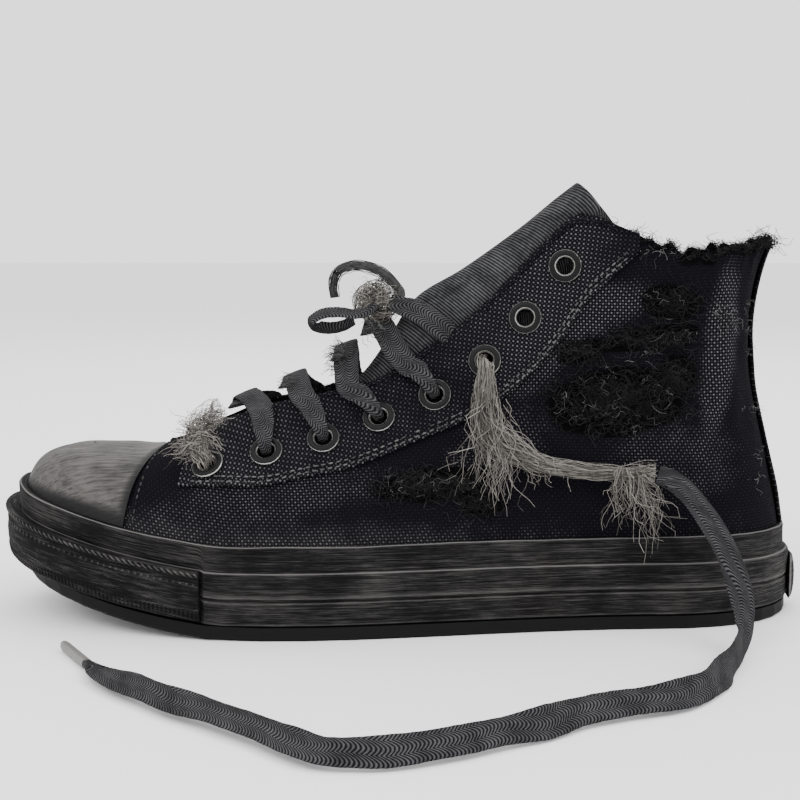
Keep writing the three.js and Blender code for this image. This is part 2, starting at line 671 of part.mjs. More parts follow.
// Filled form of the upper's outside with a clearance, up to above the foxing
function footForm() {
  const floor = SOLE_TOP - CLEARANCE;
  const top = 5;
  const grid = overCanvas(ways, 0, CLEARANCE).map((points, i) => {
    const foot = solePoint(ways[i], -FOXING_INSET + lapOver(ways[i]) + CLEARANCE, floor);
    return [foot, ...points.slice(0, top + 1)];
  });
  const list = [];
  for (let i = 0; i < grid.length; i += 1) {
    const n = (i + 1) % grid.length;
    for (let j = 0; j < grid[i].length - 1; j += 1) {
      quad(list, grid[i][j], grid[n][j], grid[n][j + 1], grid[i][j + 1]);
    }
  }
  list.push(...ringLid(grid.map((points) => points[points.length - 1]), true));
  list.push(...ringLid(grid.map((points) => points[0]), false));
  return toSolid(closedGeometry(outward(list)));
}

// Rubber cup: the foxing band with its ledge and line, and the floor that the upper stands on
function makeMidsole() {
  const rings = ways.map((t) => sideProfile(t).map(([out, height]) => solePoint(t, out, height)));
  const list = [];
  for (let i = 0; i < rings.length; i += 1) {
    const n = (i + 1) % rings.length;
    for (let k = 0; k < rings[i].length - 1; k += 1) {
      quad(list, rings[i][k], rings[n][k], rings[n][k + 1], rings[i][k + 1]);
    }
  }
  const last = rings[0].length - 1;
  list.push(...ringLid(rings.map((ring) => ring[last]), true));
  list.push(...ringLid(rings.map((ring) => ring[0]), false));
  const block = toSolid(closedGeometry(outward(list)));
  return fromSolid(block.subtract(footForm()));
}

// Tread plate, drawn in and rounded under the toe
function makeOutsole() {
  const rings = ways.map((t) => {
    const drawn = 4.5 * (1 - smooth(0.1, GUARD_REACH, sidePlace(t)));
    return [
      solePoint(t, -1.6 - drawn, 0),
      solePoint(t, -0.7 - drawn, 1),
      solePoint(t, -0.7 - drawn * 0.6, OUTSOLE_THICK),
    ];
  });
  const list = [];
  for (let i = 0; i < rings.length; i += 1) {
    const n = (i + 1) % rings.length;
    for (let k = 0; k < 2; k += 1) {
      quad(list, rings[i][k], rings[n][k], rings[n][k + 1], rings[i][k + 1]);
    }
  }
  list.push(...ringLid(rings.map((ring) => ring[2]), true));
  list.push(...ringLid(rings.map((ring) => ring[0]), false));
  return closedGeometry(outward(list));
}

// Rubber guard round the toe, with a bead along its top
function makeToeGuard() {
  const front = ways.filter((t) => t < GUARD_REACH - 1e-6);
  front.push(GUARD_REACH - 0.0012);
  const round = [...front.slice(1).map((t) => -t).reverse(), ...front];
  const sections = round.map((t) => {
    const share = 1 - 0.5 * smooth(0, 1, Math.abs(t) / GUARD_REACH);
    const face = GUARD_BULGE * share;
    const back = -GUARD_RECESS + CLEARANCE;
    return [
      solePoint(t, back, OUTSOLE_THICK + 1),
      solePoint(t, face - 2.8 * share, OUTSOLE_THICK + 0.8),
      solePoint(t, face - 0.4, OUTSOLE_THICK + 5),
      solePoint(t, face, LINE_HEIGHT + 1),
      solePoint(t, face - 0.6, BEAD_HEIGHT - BEAD_RADIUS - 0.7),
      solePoint(t, face - 0.4 + BEAD_RADIUS * 0.4, BEAD_HEIGHT - 0.8),
      solePoint(t, face - 0.4, BEAD_HEIGHT + 0.7),
      solePoint(t, back, BEAD_HEIGHT + 0.6),
    ];
  });
  return closedGeometry(outward(sweptTriangles(sections)));
}

function makeInsole() {
  const foot = SOLE_TOP;
  const out = -FOXING_INSET - CANVAS - CLEARANCE - 0.1;
  const rings = ways.map((t) => [
    solePoint(t, out, foot),
    solePoint(t, out - 0.4, foot + INSOLE_THICK),
  ]);
  const list = [];
  for (let i = 0; i < rings.length; i += 1) {
    const n = (i + 1) % rings.length;
    quad(list, rings[i][0], rings[n][0], rings[n][1], rings[i][1]);
  }
  list.push(...ringLid(rings.map((ring) => ring[1]), true));
  list.push(...ringLid(rings.map((ring) => ring[0]), false));
  return closedGeometry(outward(list));
}

// Tongue: a sheet with a crown along its middle and sides that hang down inside the quarters
function makeTongue() {
  const outer = [];
  const inner = [];
  const across = 10;
  const spine = TONGUE.map((row) => new THREE.Vector3(
    (row.at - 0.5) * LENGTH, 0, row.height * FRONT_HEIGHT));
  TONGUE.forEach((row, i) => {
    const before = spine[Math.max(0, i - 1)];
    const after = spine[Math.min(spine.length - 1, i + 1)];
    const along = after.clone().sub(before).normalize();
    const up = new THREE.Vector3(-along.z, 0, along.x);
    const section = (u) => {
      const bend = Math.min(1, Math.abs(u) / 0.5);
      const spread = Math.max(0, (Math.abs(u) - 0.5) / 0.5);
      const crownY = row.crown * Math.sin(Math.PI / 2 * bend);
      const crownDrop = row.depth * (1 - Math.cos(Math.PI / 2 * bend));
      const y = Math.sign(u) * COLLAR_WIDTH * (crownY + (row.side - row.crown) * spread);
      const drop = COLLAR_WIDTH * (crownDrop + row.fall * spread);
      const swing = TOE_SWING * Math.max(0, 1 - row.at / 0.4) ** 2;
      return spine[i].clone().addScaledVector(up, -drop).add(new THREE.Vector3(0, y + swing, 0));
    };
    const outerRow = [];
    const innerRow = [];
    for (let k = 0; k <= across; k += 1) {
      const u = 2 * (k / across) - 1;
      const step = 0.02;
      const way = section(u + step).sub(section(u - step)).normalize();
      const normal = along.clone().cross(way).normalize();
      const middle = section(u);
      outerRow.push(middle.clone().addScaledVector(normal, TONGUE_THICK / 2));
      innerRow.push(middle.clone().addScaledVector(normal, -TONGUE_THICK / 2));
    }
    outer.push(outerRow);
    inner.push(innerRow);
  });
  return closedGeometry(outward(wallTriangles(outer, inner)));
}

// Tape over the back seam, from the foxing to the collar
function makeHeelStrip() {
  const next = 1 / SIDE_STEPS;
  const columns = [1 - STRIP_REACH, 1 - next, 1, 1 + next, 1 + STRIP_REACH]
    .sort((a, b) => a - b);
  const tape = laidSheet(columns, 1, CLEARANCE + 0.1, STAY_THICK);
  return fromSolid(tape.subtract(sunkBlock(FOXING_HEIGHT + CLEARANCE)));
}

// Bare rubber plate on the back of the foxing, crowned and with cut corners
function makeHeelPlate() {
  const rows = [
    { height: 0.00, width: 0.72, rise: 0.0 },
    { height: 0.12, width: 0.94, rise: 0.7 },
    { height: 0.50, width: 1.00, rise: 1.0 },
    { height: 0.88, width: 0.94, rise: 0.7 },
    { height: 1.00, width: 0.72, rise: 0.0 },
  ];
  const outer = [];
  const inner = [];
  const reach = 0.1;
  const perReach = planPoint(1 + reach).distanceTo(planPoint(1));
  for (const share of [-1, -0.75, -0.35, 0, 0.35, 0.75, 1]) {
    const outerRow = [];
    const innerRow = [];
    for (const row of rows) {
      const t = 1 + share * row.width * reach * (PLATE_WIDTH / 2) / perReach;
      const height = PLATE_FOOT + row.height * PLATE_HEIGHT;
      const crown = 0.4 + (PLATE_THICK - 0.4) * row.rise * (1 - share * share * 0.7);
      innerRow.push(solePoint(t, 0.4 + CLEARANCE, height));
      outerRow.push(solePoint(t, 0.4 + CLEARANCE + crown, height));
    }
    outer.push(outerRow);
    inner.push(innerRow);
  }
  return closedGeometry(outward(wallTriangles(outer, inner)));
}

// Flat band swept along points, with its face turned to the given normals
function bandTriangles(points, faces, width, thick) {
  const path = new THREE.CatmullRomCurve3(points);
  const turn = new THREE.CatmullRomCurve3(faces);
  const steps = Math.round(path.getLength() / width);
  const corners = [[-0.5, 0], [-0.4, -0.5], [0.4, -0.5], [0.5, 0], [0.4, 0.5], [-0.4, 0.5]];
  const sections = [];
  for (let i = 0; i <= steps; i += 1) {
    const middle = path.getPoint(i / steps);
    const along = path.getTangent(i / steps);
    const side = along.clone().cross(turn.getPoint(i / steps)).normalize();
    const face = side.clone().cross(along).normalize();
    sections.push(corners.map(([u, v]) => middle.clone()
      .addScaledVector(side, u * width)
      .addScaledVector(face, v * thick)));
  }
  return outward(sweptTriangles(sections));
}

// Two half laces from facing eyelets, over the throat edges, joined where they cross
function makeCrossing({ eyelet, edge, top, tuck }) {
  const row = EYELETS[eyelet];
  const half = (sign) => {
    const over = (t) => lapOver(t) + CLEARANCE + STAY_EASE + STAY_THICK;
    const start = sign * row.along;
    const startOut = eyeletSeat(start) + 2 * CLEARANCE + FLANGE + 0.3 + LACE_THICK / 2;
    const lip = sign * edge;
    const midWay = sign * (row.along * 0.45 + edge * 0.55);
    const midRise = row.rise * 0.45 + 0.55;
    const points = [
      wallPoint(start, row.rise, startOut),
      wallPoint(midWay, midRise, over(midWay) + 3),
      wallPoint(lip, 1, over(lip) + 2.2),
      new THREE.Vector3(top[0], 0, top[1]),
      new THREE.Vector3(tuck[0], sign * 7, tuck[1]),
    ];
    const faces = [
      lastNormal(start, row.rise),
      lastNormal(midWay, midRise),
      lastNormal(lip, 0.98).add(new THREE.Vector3(0, 0, 0.6)).normalize(),
      new THREE.Vector3(-0.3, -0.25 * sign, 1).normalize(),
      new THREE.Vector3(-0.3, 0, 1).normalize(),
    ];
    return toSolid(closedGeometry(bandTriangles(points, faces, LACE_WIDTH, LACE_THICK)));
  };
  return fromSolid(half(1).add(half(-1)));
}

// Route that starts inside an eyelet of the outer side and comes straight out of it
function outOfEyelet(order, route) {
  const { along, rise } = EYELETS[order];
  const flangeTop = eyeletSeat(along) + CLEARANCE + FLANGE;
  const starts = [-0.8, flangeTop + 1.2].map((out) => wallPoint(along, rise, out).toArray());
  return [...starts, ...route];
}

// Round cord along a route
function makeCord(route, diameter) {
  const path = new THREE.CatmullRomCurve3(route.map(([x, y, z]) => new THREE.Vector3(x, y, z)));
  const section = new THREE.Shape();
  const sides = 8;
  for (let i = 0; i < sides; i += 1) {
    const angle = 2 * Math.PI * i / sides;
    const x = Math.cos(angle) * diameter / 2;
    const y = Math.sin(angle) * diameter / 2;
    if (i === 0) section.moveTo(x, y);
    else section.lineTo(x, y);
  }
  section.closePath();
  const steps = Math.max(4, Math.round(path.getLength() / (diameter * 2)));
  return new THREE.ExtrudeGeometry(section, { steps, extrudePath: path, bevelEnabled: false });
}

// The long flat lace leans on one edge, its face turned up and towards the outer side
function makeLongLace() {
  const points = LONG_LACE.map(([x, y, z]) => new THREE.Vector3(x, y, z));
  const faces = LONG_LACE.map(([, , z], i) => {
    if (z > 9) return new THREE.Vector3(0.45, -0.9, 0.1);
    if (i < 10) return new THREE.Vector3(0.6, -0.6, 0.5);
    return new THREE.Vector3(0.25, -0.62, 0.78);
  });
  return closedGeometry(bandTriangles(points, faces, LONG_LACE_WIDTH, LONG_LACE_THICK));
}

function makeLaceTip() {
  const end = new THREE.Vector3(...LONG_LACE[LONG_LACE.length - 1]);
  const before = new THREE.Vector3(...LONG_LACE[LONG_LACE.length - 2]);
  const along = end.clone().sub(before).setZ(0).normalize();
  const start = end.clone().addScaledVector(along, CLEARANCE + TIP_LENGTH / 2);
  start.z = TIP_DIAMETER / 2 + CLEARANCE;
  const tube = new THREE.CylinderGeometry(TIP_DIAMETER / 2, TIP_DIAMETER / 2, TIP_LENGTH, 10);
  return seated(tube, start, along);
}

const CANVAS_BLACK = { color: 0x2b2a2e, roughness: 0.92, metalness: 0 };
const RUBBER_DARK = { color: 0x3b3b3c, roughness: 0.6, metalness: 0 };
const RUBBER_GREY = { color: 0x6c6967, roughness: 0.55, metalness: 0 };
const LACE_GREY = { color: 0x4a4a4d, roughness: 0.95, metalness: 0 };
const FRAY_GREY = { color: 0x9d9894, roughness: 1, metalness: 0 };
const TONGUE_GREY = { color: 0x57575b, roughness: 0.95, metalness: 0 };
const EYELET_METAL = { color: 0x55534f, roughness: 0.4, metalness: 0.8 };

const shoe = new THREE.Group();
const cords = new THREE.Group();

function put(name, geometry, finish, parent = shoe) {
  const mesh = new THREE.Mesh(geometry, new THREE.MeshStandardMaterial(finish));
  mesh.name = name;
  parent.add(mesh);
}

put('outsole', makeOutsole(), RUBBER_DARK);
put('midsole', makeMidsole(), RUBBER_DARK);
put('toe_guard', makeToeGuard(), RUBBER_DARK);
put('toe_cap', makeToeCap(), RUBBER_GREY);
put('upper', makeUpper(), CANVAS_BLACK);
put('eyestay_outer', makeEyestay(1), CANVAS_BLACK);
put('eyestay_inner', makeEyestay(-1), CANVAS_BLACK);
put('tongue', makeTongue(), TONGUE_GREY);
put('insole', makeInsole(), TONGUE_GREY);
put('heel_strip', makeHeelStrip(), CANVAS_BLACK);
put('heel_plate', makeHeelPlate(), RUBBER_DARK);
for (const frame of eyeletFrames()) {
  const row = EYELETS[Number(frame.name.split('_')[2]) - 1];
  put(frame.name, makeEyelet(frame, eyeletSeat(row.along)), EYELET_METAL);
}
CROSSINGS.forEach((row, i) => put(`lace_crossing_${i + 1}`, makeCrossing(row), LACE_GREY));
put('side_lace', makeCord(outOfEyelet(5, SIDE_LACE), FRAYED_LACE), FRAY_GREY, cords);
put('long_lace', makeLongLace(), LACE_GREY, cords);
put('lace_tip', makeLaceTip(), RUBBER_GREY, cords);
put('bow_loop', makeCord(BOW_LOOP, THIN_LOOP), LACE_GREY, cords);
put('thin_arch', makeCord(THIN_ARCH, THIN_LOOP), LACE_GREY, cords);
put('lace_knot', makeCord(KNOT, THIN_LOOP), FRAY_GREY, cords);
put('toe_tuft', makeCord(outOfEyelet(0, TOE_TUFT), FRAYED_LACE), FRAY_GREY, cords);

// The origin is on the floor under the middle of the shoe, its loose laces left out
const middle = new THREE.Box3().setFromObject(shoe, true).getCenter(new THREE.Vector3());
const sneaker = new THREE.Group();
sneaker.add(shoe, cords);
sneaker.position.set(-middle.x, -middle.y, 0);
sneaker.updateMatrixWorld(true);

export default sneaker;
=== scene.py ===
"""Looks of a worn-out high canvas sneaker, laid out as an add-on and run as a script.

Sizes in the tables are millimetres in the shoe's own frame: toe towards -X, outer side towards -Y,
standing on z = 0. A place t runs round the last: 0 at the toe, 1 at the heel, outer side 0 to 1.
"""

import math

import bpy
import numpy as np
from mathutils.kdtree import KDTree
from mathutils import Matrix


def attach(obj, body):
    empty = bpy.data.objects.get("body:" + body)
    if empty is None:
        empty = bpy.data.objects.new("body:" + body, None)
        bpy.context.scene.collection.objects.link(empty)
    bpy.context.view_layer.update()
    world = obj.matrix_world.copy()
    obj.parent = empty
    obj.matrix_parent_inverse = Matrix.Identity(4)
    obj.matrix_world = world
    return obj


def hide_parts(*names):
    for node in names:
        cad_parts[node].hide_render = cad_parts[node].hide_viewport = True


bl_info = {
    "name": "Worn-out canvas sneaker",
    "version": (1, 0, 0),
    "blender": (4, 5, 0),
    "location": "View3D > Sidebar > Sneaker",
    "description": "Builds the cloth, rubber, laces and stage of a worn-out canvas sneaker",
    "category": "Mesh",
}

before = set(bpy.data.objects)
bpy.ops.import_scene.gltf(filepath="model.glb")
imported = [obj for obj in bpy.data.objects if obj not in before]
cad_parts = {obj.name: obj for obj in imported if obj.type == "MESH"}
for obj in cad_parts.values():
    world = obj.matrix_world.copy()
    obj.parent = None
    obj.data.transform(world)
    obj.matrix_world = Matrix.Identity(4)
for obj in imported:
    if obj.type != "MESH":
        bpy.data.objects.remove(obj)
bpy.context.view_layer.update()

# Main sizes of the last and the sole, as in the part's source
LENGTH = 298.0
BALL_WIDTH = 107.0
HEEL_WIDTH = 76.0
TOE_SPRING = 16.8
SPRING_FROM = 0.29
SPRING_POWER = 1.35
TOE_SWING = 8.0
TOE_HEIGHT = 52.0
FRONT_HEIGHT = 149.5
COLLAR_HEIGHT = 135.5
COLLAR_WIDTH = 58.0
CANVAS = 1.8
CLEARANCE = 0.3
SOLE_TOP = 13.5
FOXING_HEIGHT = 33.5
FOXING_INSET = 5.2
VAMP_LAP = 2.2
CAP_EDGE = 0.262
CAP_THICK = 1.3
STAY_THICK = 0.9
STAY_EASE = 0.2
# Places along the side, 0 at the toe and 1 at the heel
THROAT_START = 0.3
STAY_START = 0.312
STAY_END = 0.75
GUARD_REACH = 0.344
GUARD_BULGE = 2.6
STRIP_REACH = 0.039
PLATE_WIDTH = 27.0
PLATE_HEIGHT = 17.5
PLATE_FOOT = 4.2
PLATE_THICK = 2.2
PLATE_EDGE = 0.3
EYELET_HOLE = 3.0
EYELET_EASE = 0.5
FLANGE = 0.8
# Height of the eyestay's outer face over the canvas
STAY_OVER = CLEARANCE + STAY_EASE + STAY_THICK
# From the shoe's own frame to the part's, whose origin is under the middle of its box
SHIFT = np.array([-0.050, -0.607, 0.0])
# Metres in a millimetre
MM = 0.001
# Least height of a ribbon over the floor
FLOOR_REST = 0.2
HEM_RADIUS = 1.25
# Thickness of the lace over the throat, at the knot and on the floor, and of its tip
LACE_THICK = 1.3
THIN_LACE = 1.2
LONG_LACE_THICK = 1.7
TIP_THICK = 3.2
TIP_LENGTH = 24.0
# Radius of the threads: of the frayed laces and loose ends, and of the knot
THREAD = 0.14
KNOT_THREAD = 0.16
# How many points the finished lines of the hem, the laces and their threads have
HEM_POINTS = 260
LONG_POINTS = 420
LOOP_POINTS = 120
BAR_POINTS = 90
KNOT_BAR_POINTS = 70
TIP_POINTS = 60
THREAD_POINTS = 64
THREAD_CUT = 34

# Outline of the sole from above, as shares of its length and width
OUTLINE = np.array([
    # along, outer, inner
    (0.00, -0.075, 0.075), (0.05, 0.060, 0.185), (0.10, 0.180, 0.274), (0.15, 0.274, 0.340),
    (0.20, 0.349, 0.396), (0.25, 0.410, 0.439), (0.30, 0.453, 0.476), (0.35, 0.486, 0.500),
    (0.40, 0.503, 0.492), (0.45, 0.512, 0.477), (0.50, 0.514, 0.456), (0.55, 0.514, 0.446),
    (0.60, 0.512, 0.451), (0.65, 0.508, 0.466), (0.70, 0.500, 0.484), (0.75, 0.487, 0.487),
    (0.80, 0.441, 0.447), (0.85, 0.368, 0.375), (0.90, 0.263, 0.270), (0.95, 0.138, 0.145),
    (1.00, 0.000, 0.000),
])

# Sections of the upper from toe to heel
SECTIONS = np.array([
    # along, topAt, gap, climb, fall, lowRise, lowOut, highDrop, highOut
    (0.00, 0.111, 0.000, 0.001, 0.000, 0.80, 0.5, 0.00, 24.0),
    (0.10, 0.121, 0.000, 0.009, 0.000, 0.80, 0.5, 0.00, 25.0),
    (0.15, 0.138, 0.000, 0.021, 0.000, 0.78, 0.6, 0.00, 26.0),
    (0.20, 0.164, 0.000, 0.036, 0.000, 0.74, 0.8, 0.00, 27.0),
    (0.25, 0.195, 0.000, 0.049, 0.000, 0.66, 1.0, 0.00, 28.0),
    (0.30, 0.235, 0.000, 0.110, 0.000, 0.60, 1.0, 0.03, 26.0),
    (0.35, 0.326, 0.155, 0.250, 0.000, 0.52, 1.5, 0.14, 17.0),
    (0.40, 0.396, 0.215, 0.308, 0.000, 0.46, 1.5, 0.20, 14.0),
    (0.45, 0.466, 0.250, 0.364, 0.000, 0.40, 1.5, 0.22, 12.0),
    (0.50, 0.534, 0.260, 0.492, 0.000, 0.34, 1.0, 0.24, 9.0),
    (0.55, 0.594, 0.267, 0.631, 0.000, 0.32, 0.5, 0.27, 7.0),
    (0.60, 0.644, 0.276, 0.787, 0.000, 0.30, 0.0, 0.28, 5.0),
    (0.65, 0.681, 0.300, 0.908, 0.000, 0.30, 0.0, 0.30, 3.5),
    (0.70, 0.722, 0.345, 1.000, 0.000, 0.30, 0.5, 0.32, 1.0),
    (0.75, 0.789, 0.440, 1.000, 0.500, 0.30, 1.5, 0.32, -1.5),
    (0.80, 0.852, 0.491, 1.000, 1.014, 0.28, 3.0, 0.33, -4.0),
    (0.85, 0.899, 0.448, 1.000, 0.857, 0.27, 4.5, 0.35, -8.0),
    (0.90, 0.936, 0.328, 1.000, 0.779, 0.26, 6.0, 0.36, -14.0),
    (0.95, 0.956, 0.172, 1.000, 0.714, 0.26, 8.0, 0.37, -19.0),
    (1.00, 0.968, 0.000, 1.000, 0.700, 0.26, 10.0, 0.38, -22.0),
])
TOP_AT, GAP, CLIMB, FALL, LOW_RISE, LOW_OUT, HIGH_DROP, HIGH_OUT = range(1, 9)

# Seam of the eyestay and the eyelets: place along the side, rise up the wall
EYESTAY = np.array([
    # along, rise
    (0.312, 0.49), (0.344, 0.47), (0.375, 0.47), (0.406, 0.51), (0.438, 0.54), (0.469, 0.57),
    (0.500, 0.59), (0.531, 0.60), (0.563, 0.61), (0.594, 0.63), (0.625, 0.66), (0.656, 0.70),
    (0.688, 0.75), (0.719, 0.83), (0.750, 0.95),
])
EYELETS = [
    # along, rise
    (0.330, 0.59), (0.370, 0.64), (0.415, 0.70), (0.460, 0.76),
    (0.510, 0.75), (0.560, 0.78), (0.610, 0.82), (0.675, 0.88),
]

# Tongue sections, as shares of length, front height and collar width
TONGUE = np.array([
    # step, at, height, crown, depth, side, fall
    (0, 0.205, 0.383, 0.172, 0.017, 0.310, 0.069), (1, 0.278, 0.430, 0.172, 0.034, 0.410, 0.145),
    (2, 0.326, 0.464, 0.200, 0.052, 0.430, 0.200), (3, 0.396, 0.508, 0.215, 0.080, 0.460, 0.260),
    (4, 0.450, 0.588, 0.205, 0.150, 0.420, 0.340), (5, 0.488, 0.688, 0.205, 0.245, 0.330, 0.360),
    (6, 0.523, 0.790, 0.205, 0.340, 0.295, 0.330), (7, 0.583, 0.864, 0.210, 0.330, 0.270, 0.310),
    (8, 0.651, 0.961, 0.220, 0.250, 0.260, 0.290), (9, 0.695, 1.033, 0.235, 0.210, 0.260, 0.240),
    (10, 0.723, 1.078, 0.245, 0.190, 0.262, 0.200),
])

# Lace crossings: eyelet, place over the throat edge, top on the middle line, tucked end
CROSSINGS = [
    (1, 0.350, (-59.0, 81.5), (-60.0, 79.0)),
    (2, 0.388, (-40.0, 89.0), (-41.0, 86.5)),
    (3, 0.430, (-20.5, 100.0), (-21.0, 97.0)),
    (4, 0.480, (-8.5, 109.5), (-10.0, 106.5)),
]

# Routes of the loose cords
SIDE_LACE = [
    (31.2, -29.8, 94.6), (30.9, -31.0, 88.0), (30.6, -32.0, 80.7), (32.2, -33.4, 73.9),
    (37.1, -34.8, 68.2), (42.7, -35.4, 65.0), (48.4, -36.0, 61.4), (54.0, -35.9, 59.6),
    (59.5, -35.7, 58.8), (67.1, -35.4, 57.9), (74.4, -35.2, 57.4), (81.0, -35.2, 57.0),
    (87.2, -35.4, 57.2), (91.6, -36.2, 57.0),
]
LONG_LACE = [
    (92.5, -36.6, 56.7), (96.4, -38.2, 55.6), (101.2, -41.9, 52.2), (106.4, -46.4, 45.8),
    (111.3, -50.8, 37.8), (114.9, -55.0, 29.7), (117.6, -59.5, 19.6), (118.0, -63.5, 11.6),
    (116.0, -70.0, 6.0), (107.3, -89.8, 4.6), (96.6, -110.0, 4.6), (87.9, -118.5, 4.6),
    (78.4, -124.3, 4.6), (65.0, -129.5, 4.6), (51.8, -136.5, 4.6), (39.9, -145.9, 4.6),
    (24.1, -154.6, 4.6), (9.2, -162.3, 4.6), (-1.9, -166.6, 4.6), (-11.5, -168.0, 4.6),
    (-21.2, -166.4, 4.6), (-31.0, -157.9, 4.6), (-40.8, -148.4, 4.6), (-54.6, -136.3, 4.6),
    (-65.1, -128.2, 4.6), (-74.7, -119.8, 4.6), (-83.9, -110.5, 4.5), (-94.0, -98.0, 3.4),
    (-103.0, -83.5, 2.4),
]
KNOT = [
    (-2.0, -6.0, 117.0), (-5.0, -4.0, 114.2), (-8.5, 0.0, 111.65), (-12.0, 4.0, 114.2),
    (-13.5, 5.0, 117.5), (-10.0, 3.0, 120.5), (-6.5, -1.0, 121.0), (-5.5, -5.5, 119.5),
    (-8.5, -7.5, 116.5),
]
BOW_LOOP = [
    (-8.8, -7.7, 116.2), (-11.8, -9.5, 114.0), (-16.4, -11.6, 113.0), (-22.4, -13.2, 113.8),
    (-28.4, -13.6, 113.4), (-32.4, -12.0, 111.0), (-31.4, -9.4, 108.6), (-26.6, -7.6, 107.6),
    (-21.4, -6.4, 108.4), (-17.4, -5.0, 110.4),
]
THIN_ARCH = [
    (-1.1, -6.6, 117.9), (0.2, -6.6, 121.0), (-3.0, -3.8, 125.2), (-8.3, -1.4, 129.1),
    (-15.9, 0.8, 131.0), (-22.4, 2.0, 129.4), (-25.4, 2.5, 124.5), (-24.8, 2.5, 118.5),
]
TOE_TUFT = [
    (-72.6, -32.0, 64.6), (-74.6, -28.6, 68.0), (-74.6, -24.0, 71.4), (-72.4, -19.4, 74.2),
    (-69.2, -15.6, 76.6), (-66.4, -12.6, 78.4),
]

# Small torn tufts seen from the side: side -1 is the outer one, 1 the inner one
TUFTS = [
    # x, z, side, threads times three, length
    (117.0, 113.0, -1, 60, 3.6), (119.0, 109.0, -1, 40, 3.0), (66.0, 76.0, -1, 50, 3.6),
    (84.0, 72.0, -1, 40, 3.0), (58.0, 84.0, -1, 40, 3.2), (96.0, 86.0, -1, 34, 2.6),
    (-2.0, 54.0, -1, 50, 3.4), (10.0, 50.0, -1, 44, 3.2), (24.0, 55.0, -1, 40, 3.4),
    (88.0, 98.0, -1, 34, 2.8), (104.0, 106.0, -1, 30, 2.6), (76.0, 92.0, -1, 30, 2.6),
    (96.0, 135.0, -1, 24, 4.0), (88.0, 137.0, -1, 20, 3.4), (129.0, 117.0, -1, 40, 3.2),
    (129.5, 109.0, -1, 30, 2.6), (130.0, 98.0, -1, 30, 2.8),
    (131.0, 78.0, -1, 34, 3.0), (132.5, 62.0, -1, 30, 2.6), (133.0, 52.0, -1, 30, 2.6),
    (60.0, 82.0, 1, 40, 3.2), (92.0, 104.0, 1, 40, 3.0), (20.0, 58.0, 1, 40, 3.2),
]

# Loose threads of the frayed laces
SIDE_FRINGE = [
    # place, way, count, spread, length
    ((32.0, -33.5, 78.0), (-0.05, -0.15, -1.0), 90, (2.6, 0.8, 3.5), 27.0),
    ((36.5, -35.0, 70.0), (0.0, -0.1, -1.0), 50, (2.0, 0.8, 2.5), 25.0),
    ((52.0, -36.0, 60.0), (0.35, -0.15, -1.0), 26, (4.0, 0.8, 1.5), 8.0),
    ((80.0, -36.0, 57.5), (-0.12, -0.2, -1.0), 46, (1.8, 0.8, 1.6), 20.0),
    ((85.5, -36.4, 56.8), (0.35, -0.25, -1.0), 60, (1.6, 0.8, 1.6), 27.0),
    ((86.0, -36.5, 58.0), (0.8, -0.3, 0.4), 22, (1.6, 0.8, 1.4), 7.0),
]
TUFT_FRINGE = [
    # place, way, count, spread, length
    ((-73.0, -31.0, 68.0), (-0.75, -0.25, -0.35), 70, (1.2, 0.9, 1.8), 12.0),
    ((-74.0, -28.0, 71.0), (-0.6, -0.2, 0.5), 40, (1.2, 0.9, 1.6), 8.0),
    ((-70.0, -22.0, 74.0), (0.5, -0.3, 0.5), 40, (1.6, 1.2, 1.4), 9.0),
    ((-71.0, -30.0, 69.0), (0.55, -0.3, -0.5), 36, (1.4, 0.9, 1.6), 9.0),
]

# Lace from the knot down to its eyelet
KNOT_BAR = [
    (-4.0, -7.5, 117.5), (4.5, -12.0, 114.8), (11.5, -15.8, 111.0), (17.0, -17.2, 107.0),
    (20.0, -14.6, 103.5),
]

# Torn threads on the lace bars and round the knot
THROAT_TANGLE = [
    # place, way, count, spread, length
    ((-22.0, -9.0, 96.0), (-0.7, -0.4, -0.2), 70, (0.7, 1.4, 2.4), 8.0),
    ((-21.5, -9.0, 99.0), (-0.7, -0.4, 0.4), 50, (0.7, 1.4, 1.2), 6.0),
    ((-40.5, -9.0, 87.0), (-0.7, -0.4, 0.1), 40, (0.7, 1.4, 1.2), 5.0),
    ((-10.0, -13.0, 107.0), (0.5, -0.4, -0.2), 30, (2.0, 1.4, 2.2), 5.0),
]
KNOT_FUZZ = [
    # place, way, count, spread, length
    ((-11.0, -3.0, 119.0), (-0.6, -0.4, 0.6), 34, (2.4, 2.0, 2.2), 7.0),
    ((-5.0, -6.0, 118.0), (0.6, -0.5, 0.3), 26, (2.0, 1.6, 2.2), 6.0),
    ((-13.0, -1.0, 116.0), (-0.7, -0.3, -0.1), 24, (1.6, 1.6, 2.0), 7.0),
]

